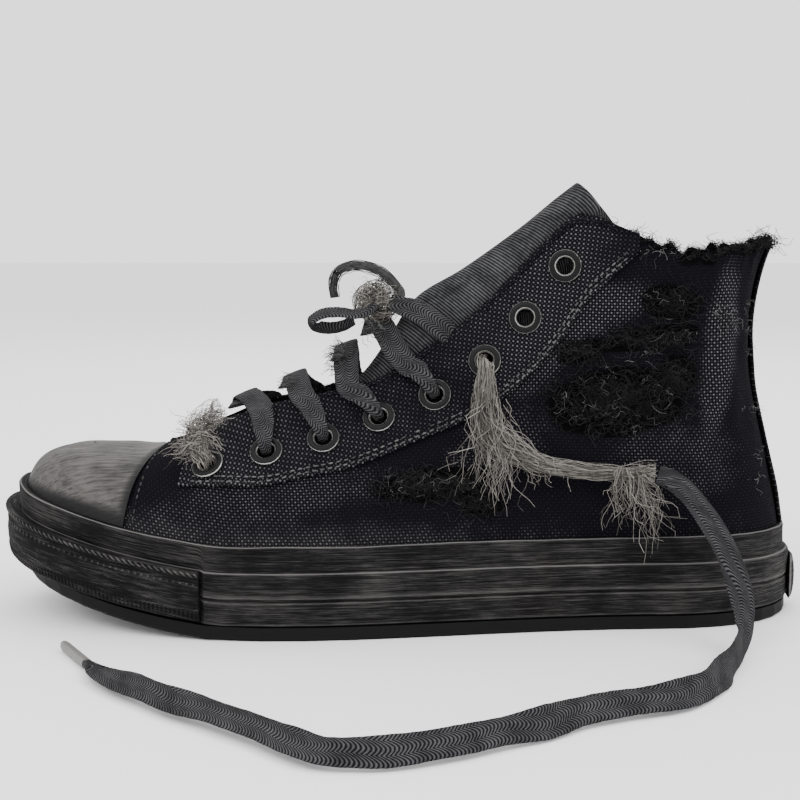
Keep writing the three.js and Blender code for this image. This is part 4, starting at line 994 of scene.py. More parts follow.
class SneakerSettings(bpy.types.PropertyGroup):
    """Sizes and colours that a user would change."""

    weave_pitch: bpy.props.FloatProperty(
        name="Weave pitch", description="Distance between threads of the canvas",
        default=0.00112, unit="LENGTH", precision=5)
    stitch_length: bpy.props.FloatProperty(
        name="Stitch length", description="Length of one visible stitch",
        default=0.0019, unit="LENGTH", precision=5)
    stitch_pitch: bpy.props.FloatProperty(
        name="Stitch pitch", description="Distance from one stitch to the next",
        default=0.0028, unit="LENGTH", precision=5)
    lace_width: bpy.props.FloatProperty(
        name="Lace width", description="Width of the flat lace across the throat",
        default=0.0094, unit="LENGTH", precision=5)
    long_lace_width: bpy.props.FloatProperty(
        name="Long lace width", description="Width of the lace on the floor",
        default=0.0096, unit="LENGTH", precision=5)
    fringe_length: bpy.props.FloatProperty(
        name="Fringe length", description="Usual length of threads at the raw collar",
        default=0.0042, unit="LENGTH", precision=5)
    canvas_colour: bpy.props.FloatVectorProperty(
        name="Canvas colour", description="Paint on the canvas",
        default=(0.0036, 0.0032, 0.0048), subtype="COLOR", size=3)
    # Colour of the worn thread on the weave's crossings, which also serves as their painted
    # highlight
    worn_and_highlight_colour: bpy.props.FloatVectorProperty(
        name="Worn thread colour", description="Thread that shows through the worn paint",
        default=(0.105, 0.103, 0.108), subtype="COLOR", size=3)
    tongue_colour: bpy.props.FloatVectorProperty(
        name="Tongue colour", description="Worn ribs of the tongue",
        default=(0.075, 0.075, 0.077), subtype="COLOR", size=3)


def upper_fields(a, b, points):
    """Wear values of the upper's canvas, with the painted shade of its tears."""
    t = 2 * a
    outer = is_outer(t)
    near_edge = smooth(0.93, 1.0, b) * smooth(0.31, 0.33, side_place(t))
    fray_and_shade = np.maximum(spot_field(points, outer, FRAYED), near_edge * 0.62)
    pale = spot_field(points, outer, PALE)
    height = points[:, 2] - lift(points[:, 0])
    low = 1 - smooth(FOXING_HEIGHT - 2, FOXING_HEIGHT + 12, height)
    front = 1 - smooth(-30, 70, points[:, 0])
    dust = low * (0.35 + 0.65 * front)
    return {"fray_and_shade": fray_and_shade, "pale": pale, "dust": dust}


def eyelet_axes():
    """Centre and axis of each eyelet, outer side first."""
    axes = []
    for sign in (1, -1):
        for along, rise in EYELETS:
            axes.append((last_point(sign * along, rise), last_normal(sign * along, rise),
                         float(lap_over(sign * along))))
    return axes


def canvas_place(a, b):
    """Point of the creased outer face of the upper."""
    t = 2 * a
    place = side_place(t)
    plain = wall_point(t, b, lap_over(t))
    outer = is_outer(t)
    free = smooth(0.10, 0.22, b) * smooth(CAP_EDGE + 0.01, 0.32, place)
    seam = column(EYESTAY, 1, np.clip(place, STAY_START, STAY_END))
    under_stay = smooth(-0.05, 0.02, b - seam) * (1 - smooth(0.74, 0.77, place))
    edge = smooth(0.9, 1.0, b)
    relief = fold_relief(plain, outer) * free * (1 - under_stay) * (1 - 0.5 * edge)
    fray_and_shade = spot_field(plain, outer, FRAYED)
    bumps = noise(plain[:, 0] * 0.35, plain[:, 2] * 0.35, 5)
    relief -= fray_and_shade * (0.9 + 0.35 * bumps) * free * (1 - under_stay)
    relief += noise(plain[:, 0] * 0.09, plain[:, 2] * 0.09, 8) * 0.35 * free * (1 - under_stay)
    raw = edge * smooth(0.66, 0.72, place)
    wave = noise(t * 160, t * 0, 3)
    relief += raw * wave * 1.3
    moved = plain + last_normal(t, b) * relief[:, None]
    moved[:, 2] += raw * (noise(t * 230, t * 0, 4) * 1.6 - 0.6)
    moved[:, 2] -= 1.5 * (1 - smooth(0.1, 0.22, place)) * smooth(0.75, 0.98, b)
    return moved


class SNEAKER_OT_upper(bpy.types.Operator):
    """Builds the creased canvas wall with its worn places"""

    bl_idname = "sneaker.upper"
    bl_label = "Canvas upper"

    def execute(self, context):
        settings = context.scene.sneaker
        cloth = canvas_material("canvas", settings, settings.weave_pitch * 1000)
        holes = [(centre, axis) for centre, axis, _ in eyelet_axes()]
        upper = surface("canvas_upper", 460, 72, canvas_place, fields=upper_fields, thick=CANVAS,
                        drop=(holes, EYELET_HOLE + 0.5), merge=2e-4)
        dressed(upper, cloth, ["upper"])
        for sign, side in ((1, "outer"), (-1, "inner")):
            stay = surface(f"eyestay_band_{side}", 230, 34, stay_place(sign),
                           fields=stay_fields(sign), thick=STAY_THICK, drop=(holes, 3.6),
                           grain=38)
            dressed(stay, cloth, [f"eyestay_{side}"])
        return {"FINISHED"}


def stay_place(sign):
    """Place function of one side's eyestay band, with its rolled edges."""
    def place(a, b):
        along = STAY_START + (STAY_END - STAY_START) * a
        t = sign * along if sign > 0 else 2 - along
        seam = column(EYESTAY, 1, along)
        rise = seam + (1 - seam) * b
        roll = 0.35 * np.exp(-((b - 0.97) / 0.03) ** 2) + 0.25 * np.exp(-((b - 0.015) / 0.02) ** 2)
        out = lap_over(t) + CLEARANCE + STAY_EASE + STAY_THICK + roll
        rows = (0.35 * (np.exp(-((b - 0.075) / 0.035) ** 2)))
        soft = noise(along * 90, b * 4, 21) * 0.18
        return wall_point(t, rise, out - rows + soft)
    if sign > 0:
        return place
    return lambda a, b: place(1 - a, b)


def stay_fields(sign):
    """Wear values of the eyestay."""
    def fields(a, b, points):
        along = a if sign > 0 else 1 - a
        edge = np.exp(-((b - 0.99) / 0.04) ** 2)
        seam_edge = np.exp(-((b - 0.0) / 0.05) ** 2)
        pale = np.clip(0.30 + 0.4 * smooth(0.4, 0.75, along) - 0.45 * smooth(0.86, 1.0, along)
                       + 0.3 * seam_edge, 0, 1)
        dust = 0.35 * (1 - smooth(0.0, 0.5, along)) + 0 * b
        return {"fray_and_shade": edge * 0.5, "pale": pale, "dust": dust}
    return fields


def cap_place(a, b):
    """Point of the toe cap's outer face."""
    t = CAP_EDGE * (2 * a - 1)
    low = rise_at(t, FOXING_HEIGHT - 1.0)
    rise = low + (1 - low) * b
    sink = 0.5 * smooth(0.97, 1.0, np.abs(2 * a - 1))
    dents = noise(t * 30, b * 5, 31) * 0.35 * smooth(0.05, 0.3, b) * (1 - smooth(0.75, 0.97, b))
    ridge = smooth(0.90, 1.0, b)[:, None]
    normal = last_normal(np.mod(t, 2), rise) * (1 - ridge) + np.array([0.0, 0.0, 1.0]) * ridge
    out = CLEARANCE + 0.05 + CAP_THICK + dents - sink
    return last_point(np.mod(t, 2), rise) + unit(normal) * out[:, None]


def cap_shade_fields(a, b, points):
    """Painted shade along the cap's foot, under the foxing rim, and along its rear edge under the
    canvas lap.
    """
    rear = smooth(0.93, 1.0, np.abs(2 * a - 1))
    return {"edge": np.maximum(1 - smooth(0.0, 0.22, b), rear * 0.8)}


# Foxing band's closed profile, from its outer foot over its rim to its inner foot:
# height over the sole's underside, distance out behind the guard, distance out elsewhere
FOXING_PROFILE = np.array([
    # height, behind guard, elsewhere
    (5.3, -2.6, -1.5), (6.0, -2.5, -0.6), (7.2, -2.4, -0.25), (10.0, -2.4, -0.15),
    (13.2, -2.4, -0.1), (13.8, -2.4, -0.35), (14.4, -2.4, -0.95), (15.0, -2.4, -0.35),
    (15.6, -2.4, -0.05), (18.5, -2.4, 0.1), (22.6, -2.4, 0.2), (23.6, -2.4, 0.1),
    (24.3, -2.4, -0.35), (24.6, -2.4, -1.1), (24.9, -2.3, -1.75), (26.0, -2.1, -1.95),
    (29.0, -2.0, -2.0), (31.6, -2.0, -1.95), (32.6, -2.0, -1.85), (33.3, -2.3, -2.1),
    (33.6, -2.8, -2.8), (33.5, -3.6, -3.6), (33.0, -5.0, -5.0), (24.0, -7.0, -7.0),
    (14.0, -8.5, -8.5), (5.3, -8.5, -8.5), (5.3, -2.6, -1.5),
])


def foxing_place(a, b):
    """Point of the foxing band."""
    t = np.mod(2 * a, 2)
    u = b * (len(FOXING_PROFILE) - 1)
    k = np.arange(len(FOXING_PROFILE))
    height = np.interp(u, k, FOXING_PROFILE[:, 0])
    front = 1 - smooth(GUARD_REACH - 0.0015, GUARD_REACH + 0.0015, side_place(t))
    out = (np.interp(u, k, FOXING_PROFILE[:, 1]) * front
           + np.interp(u, k, FOXING_PROFILE[:, 2]) * (1 - front))
    face = smooth(0, 2, u) * (1 - smooth(20, 21, u))
    out = out + face * noise(t * 60, height * 0.25, 41) * 0.16
    height = height + face * smooth(15, 20, u) * noise(t * 45, t * 0, 42) * 0.35
    return sole_point(t, out, height)


def foxing_fields(a, b, points):
    """Rubbed rims of the foxing band: its top, its ledge and beside its line."""
    u = b * (len(FOXING_PROFILE) - 1)
    rims = [(19.6, 1.0), (12.3, 0.95), (5.0, 0.6), (8.0, 0.6), (1.0, 0.6)]
    edge = sum(strength * np.exp(-((u - at) / 0.7) ** 2) for at, strength in rims)
    return {"edge": edge}


# Toe guard's closed profile, from its inner foot over its face to its inner top
GUARD_PROFILE = np.array([
    # height, share of the face's distance out, further distance out
    (6.0, 0.0, -2.1), (5.85, 1.0, -3.0), (6.2, 1.0, -1.6), (7.4, 1.0, -0.9), (10.0, 1.0, -0.4),
    (12.5, 1.0, -0.1), (15.4, 1.0, 0.0), (18.0, 1.0, -0.15), (20.2, 1.0, -0.45),
    (21.2, 1.0, -0.75), (21.8, 1.0, -0.55), (22.4, 1.0, -0.15), (23.2, 1.0, 0.1),
    (24.0, 1.0, -0.15), (24.5, 1.0, -0.8), (24.3, 0.6, -1.2), (24.1, 0.0, -2.1),
    (6.0, 0.0, -2.1),
])
ROPE_PITCH = 2.4
RIB_PITCH = 1.6
LATTICE_PITCH = 5.0
# Middle heights of the guard's rope, dashes, lattice and upright ribs
ROPE_HEIGHT = 23.1
DASH_HEIGHT = 19.6
LATTICE_HEIGHT = 14.0
RIB_HEIGHT = 8.3
GUARD_COLUMNS = 640
GUARD_END = GUARD_REACH - 0.0012
GUARD_T = np.linspace(-GUARD_END, GUARD_END, GUARD_COLUMNS + 1)
GUARD_WAY = way_along(sole_point(np.mod(GUARD_T, 2), 0, 10))


def guard_parts(a, b):
    """Height, distance out and way round of a point of the guard, and its ribs' height."""
    t = np.interp(a, np.linspace(0, 1, GUARD_COLUMNS + 1), GUARD_T)
    way = np.interp(a, np.linspace(0, 1, GUARD_COLUMNS + 1), GUARD_WAY)
    u = b * (len(GUARD_PROFILE) - 1)
    k = np.arange(len(GUARD_PROFILE))
    height = np.interp(u, k, GUARD_PROFILE[:, 0])
    share = 1 - 0.5 * smooth(0, 1, np.abs(t) / GUARD_REACH)
    out = (np.interp(u, k, GUARD_PROFILE[:, 1]) * GUARD_BULGE * share
           + np.interp(u, k, GUARD_PROFILE[:, 2]))
    face = smooth(1.5, 2.2, u) * (1 - smooth(14.2, 14.8, u))
    rope = np.exp(-((height - ROPE_HEIGHT) / 1.0) ** 4) * (
        0.5 + 0.5 * np.sin(2 * np.pi * (way + 1.3 * height) / ROPE_PITCH))
    dashes = np.exp(-((height - DASH_HEIGHT) / 0.75) ** 4) * smooth(
        -0.2, 0.5, np.sin(2 * np.pi * way / ROPE_PITCH))
    ribs = np.exp(-((height - RIB_HEIGHT) / 1.75) ** 6) * (
        0.5 + 0.5 * np.cos(2 * np.pi * way / RIB_PITCH))
    lattice = np.exp(-((height - LATTICE_HEIGHT) / 3.4) ** 6) * (
        np.maximum(np.cos(np.pi * (way + height * 1.1) / LATTICE_PITCH) ** 8,
                   np.cos(np.pi * (way - height * 1.1) / LATTICE_PITCH) ** 8))
    relief = face * (0.62 * rope + 0.34 * dashes + 0.5 * ribs + 0.16 * lattice)
    return t, height, out + relief, rope + dashes * 0.7 + ribs * 0.6


def guard_place(a, b):
    """Point of the toe guard."""
    t, height, out, _ = guard_parts(a, b)
    return sole_point(np.mod(t, 2), out, height)


def guard_fields(a, b, points):
    """Rubbed tops of the guard's ribs."""
    _, height, _, raised = guard_parts(a, b)
    return {"edge": np.clip(raised * 0.75, 0, 1)}


class SNEAKER_OT_sole(bpy.types.Operator):
    """Builds the foxing band, toe guard, toe cap and heel plate"""

    bl_idname = "sneaker.sole"
    bl_label = "Rubber cup and toe"

    def execute(self, context):
        band = rubber_material("sole_rubber", (0.0028, 0.0026, 0.003), (0.062, 0.059, 0.057), 1.9)
        guard_rubber = rubber_material("guard_rubber", (0.0028, 0.0026, 0.003),
                                       (0.042, 0.040, 0.039), 0.5)
        foxing = surface("foxing_band", 640, len(FOXING_PROFILE) * 2 - 2, foxing_place,
                         fields=foxing_fields, sharp=40)
        dressed(foxing, band, ["midsole"])
        guard = surface("ribbed_toe_guard", GUARD_COLUMNS, (len(GUARD_PROFILE) - 1) * 3,
                        guard_place, fields=guard_fields, fill=True, sharp=55)
        dressed(guard, guard_rubber, ["toe_guard"])
        cap = surface("toe_cap_dome", 150, 44, cap_place, fields=cap_shade_fields,
                      thick=CAP_THICK - 0.1, merge=6e-4, clamp=1.5)
        dressed(cap, cap_material(), ["toe_cap"])
        plate = surface("heel_plate_bare", 40, 32, plate_place, fields=plate_fields, fill=True)
        dressed(plate, band, ["heel_plate"])
        painted("outsole", plain_material("outsole_rubber", (0.005, 0.0048, 0.0052), 0.65, 0.1))
        return {"FINISHED"}


def plate_place(a, b):
    """Point of the crowned heel plate: outer face, then back along its inner face."""
    reach = 0.1
    per_reach = np.linalg.norm(plan_point(np.array(1 + reach)) - plan_point(np.array(1.0)))
    across, up = 2 * a - 1, b * 2
    front = up <= 1
    v = np.where(front, up, 2 - up)
    corner = 1 - 0.28 * np.clip(np.abs(2 * v - 1) * 1.6 - 0.6, 0, 1) ** 2
    t = 1 + across * corner * reach * (PLATE_WIDTH / 2) / per_reach
    crown = (np.sin(np.pi * np.clip(v, 0, 1)) ** 0.35) * (1 - np.abs(across) ** 4 * 0.8)
    out = 0.4 + CLEARANCE + np.where(front, PLATE_EDGE + (PLATE_THICK - PLATE_EDGE) * crown, 0)
    return sole_point(t, out, PLATE_FOOT + v * PLATE_HEIGHT)


def plate_fields(a, b, points):
    """Rubbed rim of the heel plate."""
    v = np.where(b <= 0.5, b * 2, 0)
    top = np.exp(-((v - 0.9) / 0.07) ** 2)
    ends = np.exp(-((np.abs(2 * a - 1) - 0.93) / 0.06) ** 2)
    rim = np.maximum(top, ends)
    return {"edge": rim * (b <= 0.5)}


def tongue_middle(step, u):
    """Middle surface of the tongue at a table step and a share across."""
    row = {k: column(TONGUE, k, step) for k in range(1, 7)}
    reach = 0.15
    last = len(TONGUE) - 1
    low, high = np.clip(step - reach, 0, last), np.clip(step + reach, 0, last)
    dx = (column(TONGUE, 1, high) - column(TONGUE, 1, low)) * LENGTH
    dz = (column(TONGUE, 2, high) - column(TONGUE, 2, low)) * FRONT_HEIGHT
    size = np.hypot(dx, dz)
    up = np.stack([-dz / size, np.zeros_like(size), dx / size], -1)
    bend = np.minimum(1, np.abs(u) / 0.5)
    spread = np.maximum(0, (np.abs(u) - 0.5) / 0.5)
    y = np.sign(u) * COLLAR_WIDTH * (row[3] * np.sin(np.pi / 2 * bend) + (row[5] - row[3]) * spread)
    drop = COLLAR_WIDTH * (row[4] * (1 - np.cos(np.pi / 2 * bend)) + row[6] * spread)
    swing = TOE_SWING * np.maximum(0, 1 - row[1] / 0.4) ** 2
    spine = np.stack([(row[1] - 0.5) * LENGTH, swing + y, row[2] * FRONT_HEIGHT], -1)
    return spine - up * drop[..., None]


def tongue_place(a, b):
    """Point of the tongue, its free edge a little ragged."""
    u = 2 * a - 1
    step = (len(TONGUE) - 1) * b
    p = tongue_middle(step, u)
    free = smooth(0.72, 0.95, b)
    wave = noise(u * 3.0, step * 0.7, 51) * (0.5 + 1.0 * free)
    p[:, 1] += noise(u * 2.0, step * 0.9, 52) * 0.5 * free
    p[:, 2] += wave * 0.6 + free * noise(u * 9.0, step * 0, 53) * 0.5
    return p


class SNEAKER_OT_tongue(bpy.types.Operator):
    """Builds the ribbed tongue, the lining's sole and the back strip"""

    bl_idname = "sneaker.tongue"
    bl_label = "Tongue, insole and heel strip"

    def execute(self, context):
        settings = context.scene.sneaker
        twill = tongue_material(settings)
        tongue = surface("ribbed_tongue", 56, 150, tongue_place, thick=2.0, offset=0.0)
        dressed(tongue, twill, ["tongue"])
        cloth = MADE["canvas"]
        strip = surface("back_strip", 26, 90, strip_place, fields=strip_fields, thick=STAY_THICK)
        dressed(strip, cloth, ["heel_strip"])
        painted("insole", plain_material("lining_cloth", (0.018, 0.018, 0.019), 0.95, 0.05))
        return {"FINISHED"}


def strip_place(a, b):
    """Point of the tape up the back seam, with its corded edges."""
    across = 2 * a - 1
    t = 1 + STRIP_REACH * across
    low = rise_at(t, FOXING_HEIGHT - 0.5)
    rise = low + (0.995 - low) * b
    cord = 0.7 * np.exp(-((np.abs(across) - 0.86) / 0.12) ** 2)
    soft = noise(across * 2, b * 16, 61) * 0.25
    return wall_point(t, rise, CLEARANCE + 0.1 + STAY_THICK + cord + soft)


def strip_fields(a, b, points):
    """Wear of the back strip: black, rubbed along its cords."""
    rub = np.exp(-((np.abs(2 * a - 1) - 0.86) / 0.1) ** 2)
    return {"fray_and_shade": 0.1 + 0 * a, "pale": 0.15 + rub * 0.5, "dust": 0.3 * (1 - b)}


EYELET_PROFILE = [
    # radius, height over the flange's underside, how far it is rubbed bare
    (3.00, -4.2, 0.0), (3.55, -4.2, 0.0), (3.60, 0.0, 0.0), (5.75, 0.0, 0.1), (5.95, 0.22, 0.9),
    (5.82, 0.52, 0.75), (5.40, 0.82, 0.0), (4.90, 1.00, 0.0), (4.30, 1.06, 0.0),
    (3.80, 0.94, 0.35), (3.45, 0.66, 1.0), (3.15, 0.15, 0.6), (3.00, -0.8, 0.0), (3.00, -4.2, 0.0),
]


def seated(points, centre, axis):
    """Points about +Z moved so that their axis is the wall's normal at a centre."""
    side = unit(np.cross(np.array([0.0, 0.0, 1.0]), axis))
    up = np.cross(axis, side)
    return centre + points[:, :1] * side + points[:, 1:2] * up + points[:, 2:3] * axis


class SNEAKER_OT_eyelets(bpy.types.Operator):
    """Builds the sixteen painted eyelets"""

    bl_idname = "sneaker.eyelets"
    bl_label = "Eyelets"

    def execute(self, context):
        metal = eyelet_material()
        rows = np.array(EYELET_PROFILE)
        names = [f"eyelet_{side}_{i}" for side in ("outer", "inner") for i in range(1, 9)]
        for name, (centre, axis, lap) in zip(names, eyelet_axes()):
            seat = lap + STAY_OVER + EYELET_EASE

            def place(a, b):
                u = b * (len(rows) - 1)
                k = np.arange(len(rows))
                r, h = np.interp(u, k, rows[:, 0]), np.interp(u, k, rows[:, 1])
                angle = -2 * np.pi * a
                ring = np.stack([r * np.cos(angle), r * np.sin(angle), h + seat], -1)
                return seated(ring, centre, axis)

            def fields(a, b, points):
                return {"rub": np.interp(b * (len(rows) - 1), np.arange(len(rows)), rows[:, 2])}

            ring = surface(f"grommet_{name[7:]}", 44, (len(rows) - 1) * 2, place, fields=fields)
            dressed(ring, metal, [name])
        return {"FINISHED"}


def copies(name, base, base_faces, places, sides, ways, ups, tones=None):
    """One piece joined from copies of a small modelled mesh, each at its place and turned."""
    n, m = len(places), len(base)
    points = (places[:, None] + base[None, :, :1] * ways[:, None]
              + base[None, :, 1:2] * sides[:, None]
              + base[None, :, 2:] * ups[:, None]).reshape(-1, 3)
    faces = [[int(v) + k * m for v in face] for k in range(n) for face in base_faces]
    tone = np.repeat(np.full(n, 0.5) if tones is None else tones, m)
    return from_arrays(name, points, faces, {"tone": tone})


STITCH_HALF_WIDTH = 0.36
STITCH_HALF_HEIGHT = 0.30
# Share of the stitches that is worn away
STITCHES_LOST = 0.04
# Distance of the eyestay's two rows of stitches from its lower edge
STITCH_ROWS = (1.6, 3.6)


def modelled_stitch(length):
    """Points and faces of one stitch, a bead drawn out along X."""
    bpy.ops.object.select_all(action="DESELECT")
    bpy.ops.mesh.primitive_uv_sphere_add(segments=8, ring_count=6, radius=1.0)
    bead = bpy.context.object
    points = np.array([v.co[:] for v in bead.data.vertices])
    faces = [list(f.vertices) for f in bead.data.polygons]
    bpy.ops.object.delete()
    return points * np.array([length / 2, STITCH_HALF_WIDTH, STITCH_HALF_HEIGHT]), faces


def seam_stitches(name, t, rise, out, pitch, bead, material, seed=1, tone=(0.3, 0.9)):
    """A row of stitches along a line on the upper."""
    line = wall_point(t, rise, out)
    normals = last_normal(t, rise)
    gone = way_along(line)
    at = np.arange(pitch / 2, gone[-1], pitch)
    places = between(at, gone, line)
    ups = unit(between(at, gone, normals))
    ways = unit(between(at + 0.3, gone, line) - places + 1e-9)
    random = np.random.default_rng(seed)
    keep = random.random(len(places)) > STITCHES_LOST
    places, ups, ways = places[keep], ups[keep], ways[keep]
    sides = np.cross(ups, ways)
    tones = random.uniform(*tone, len(places))
    piece = copies(name, bead[0], bead[1], places, sides, ways, ups, tones)
    return dressed(piece, material)


class SNEAKER_OT_stitches(bpy.types.Operator):
    """Sews the double rows along the eyestays, the cap's seam and the back strip"""

    bl_idname = "sneaker.stitches"
    bl_label = "Stitches"

    def execute(self, context):
        settings = context.scene.sneaker
        thread = thread_material("stitch_thread", (0.006, 0.006, 0.0065), (0.10, 0.099, 0.097))
        pitch = settings.stitch_pitch * 1000
        bead = modelled_stitch(settings.stitch_length * 1000)
        along = np.linspace(STAY_START + 0.008, STAY_END - 0.012, 260)
        for sign, side in ((1, "outer"), (-1, "inner")):
            t = along if sign > 0 else 2 - along
            seam = column(EYESTAY, 1, along)
            wall = np.linalg.norm(last_point(t, seam + 0.02) - last_point(t, seam), axis=1) / 0.02
            for row, gap in enumerate(STITCH_ROWS):
                out = lap_over(t) + STAY_OVER + 0.1
                seam_stitches(f"stay_stitches_{side}_{row + 1}", t, seam + gap / wall, out, pitch,
                              bead, thread, seed=row + 3 + sign)
            rise = np.linspace(rise_at(np.array([0.27]), FOXING_HEIGHT + 1)[0], 0.97, 120)
            way = np.full_like(rise, 0.2735 if sign > 0 else 2 - 0.2735)
            seam_stitches(f"cap_seam_stitches_{side}", way, rise, lap_over(way) + 0.1, pitch, bead,
                          thread, seed=12 + sign, tone=(0.05, 0.4))
            way = np.full(160, 1 - sign * STRIP_REACH * 0.62)
            rise = np.linspace(rise_at(way[:1], FOXING_HEIGHT + 1)[0], 0.96, 160)
            seam_stitches(f"strip_stitches_{side}", way, rise,
                          np.full(160, CLEARANCE + STAY_THICK + 0.2), pitch, bead, thread,
                          seed=15 + sign, tone=(0.0, 0.4))
        return {"FINISHED"}


def curled(random, starts, ways, lengths, steps=7, curl=0.35, droop=0.15):
    """Lines of loose threads from their starts, curling and drooping."""
    n = len(starts)
    s = np.linspace(0, 1, steps)[None, :, None]
    helper = unit(random.normal(size=(n, 3)))
    one = unit(np.cross(ways, helper))[:, None]
    two = np.cross(ways, one[:, 0])[:, None]
    long = lengths[:, None, None]
    phase = random.uniform(0, 2 * np.pi, (n, 1, 2))
    turns = random.uniform(0.4, 1.7, (n, 1, 2))
    swing = curl * random.uniform(0.3, 1.3, (n, 1, 1)) * long
    line = starts[:, None] + ways[:, None] * s * long
    line = line + one * swing * (np.sin(2 * np.pi * turns[..., :1] * s + phase[..., :1])
                                 - np.sin(phase[..., :1])) * s**0.5
    line = line + two * swing * (np.sin(2 * np.pi * turns[..., 1:] * s + phase[..., 1:])
                                 - np.sin(phase[..., 1:])) * s**0.5
    line[..., 2] -= (droop * long * s**2)[..., 0]
    return line


def edge_fringe(random, count, sign, low, high, length, lean=0.5):
    """Threads that stand up from the raw top edge between two places along a side."""
    place = random.uniform(low, high, count)
    t = place if sign > 0 else 2 - place
    starts = canvas_place(np.asarray(t) / 2, np.full(count, 0.995))
    starts -= last_normal(t, 0.995) * random.uniform(0, 1.6, (count, 1))
    up = unit(last_point(t, np.full(count, 0.99)) - last_point(t, np.full(count, 0.93)))
    out = last_normal(t, 0.98)
    ways = unit(up + out * random.normal(0.15, lean, (count, 1))
                + unit(random.normal(size=(count, 3))) * lean)
    lengths = length * random.lognormal(0, 0.55, count)
    return curled(random, starts, ways, np.clip(lengths, 0.6, length * 4), curl=0.5)


def patch_web(random, count, spot, scale=1.0, out=(0.2, 2.2), length=(4, 16), tilt=0.6):
    """Threads that lie in a tangle over one worn place."""
    x, z, long, high, _, _, where = spot
    steps = 9
    base = np.stack([x + random.normal(0, 0.42, count) * long * scale,
                     z + random.normal(0, 0.42, count) * high * scale], -1)
    angle = random.normal(0, tilt, count)
    size = random.uniform(*length, count)
    s = np.linspace(-0.5, 0.5, steps)[None]
    wave = random.uniform(0.4, 2.4, (count, 1))
    phase = random.uniform(0, 6.28, (count, 1))
    bow = np.sin(2 * np.pi * wave * s + phase) * size[:, None] * 0.16
    px = base[:, :1] + np.cos(angle)[:, None] * s * size[:, None] - np.sin(angle)[:, None] * bow
    pz = base[:, 1:] + np.sin(angle)[:, None] * s * size[:, None] + np.cos(angle)[:, None] * bow
    rise_over = random.uniform(*out, (count, 1)) * (1 - (2 * s) ** 2 * 0.8) + 0.05
    t, rise = side_to_wall(px.ravel(), pz.ravel(), where)
    plain = canvas_place(t / 2, rise)
    return (plain + last_normal(t, rise) * rise_over.ravel()[:, None]).reshape(count, steps, 3)


def side_to_wall(x, z, where):
    """Way round t and rise of the points seen at x, z from one side."""
    place = np.linspace(CAP_EDGE + 0.02, 0.995, 150)
    rises = np.linspace(0.02, 1, 90)
    pp, rr = np.meshgrid(place, rises, indexing="ij")
    tt = pp if where < 0 else 2 - pp
    grid = last_point(tt, rr)
    tree = KDTree(grid.shape[0] * grid.shape[1])
    flat = grid.reshape(-1, 3)
    for i, p in enumerate(flat):
        tree.insert((p[0], 0.0, p[2]), i)
    tree.balance()
    found = np.array([tree.find((a, 0.0, b))[1] for a, b in zip(x, z)])
    t, rise = tt.ravel()[found], rr.ravel()[found]
    step = 1e-3
    for _ in range(2):
        p = last_point(t, rise)
        dt = (last_point(t + step, rise) - p) / step
        dr = (last_point(t, np.minimum(1, rise + step)) - p) / step
        det = dt[:, 0] * dr[:, 2] - dt[:, 2] * dr[:, 0]
        det = np.where(np.abs(det) < 1e-3, 1e9, det)
        ex, ez = x - p[:, 0], z - p[:, 2]
        t = t + np.clip((ex * dr[:, 2] - ez * dr[:, 0]) / det, -0.01, 0.01)
        rise = np.clip(rise + np.clip((dt[:, 0] * ez - dt[:, 2] * ex) / det, -0.02, 0.02), 0.01, 1)
    return np.clip(t, 0.27, 1.73), rise


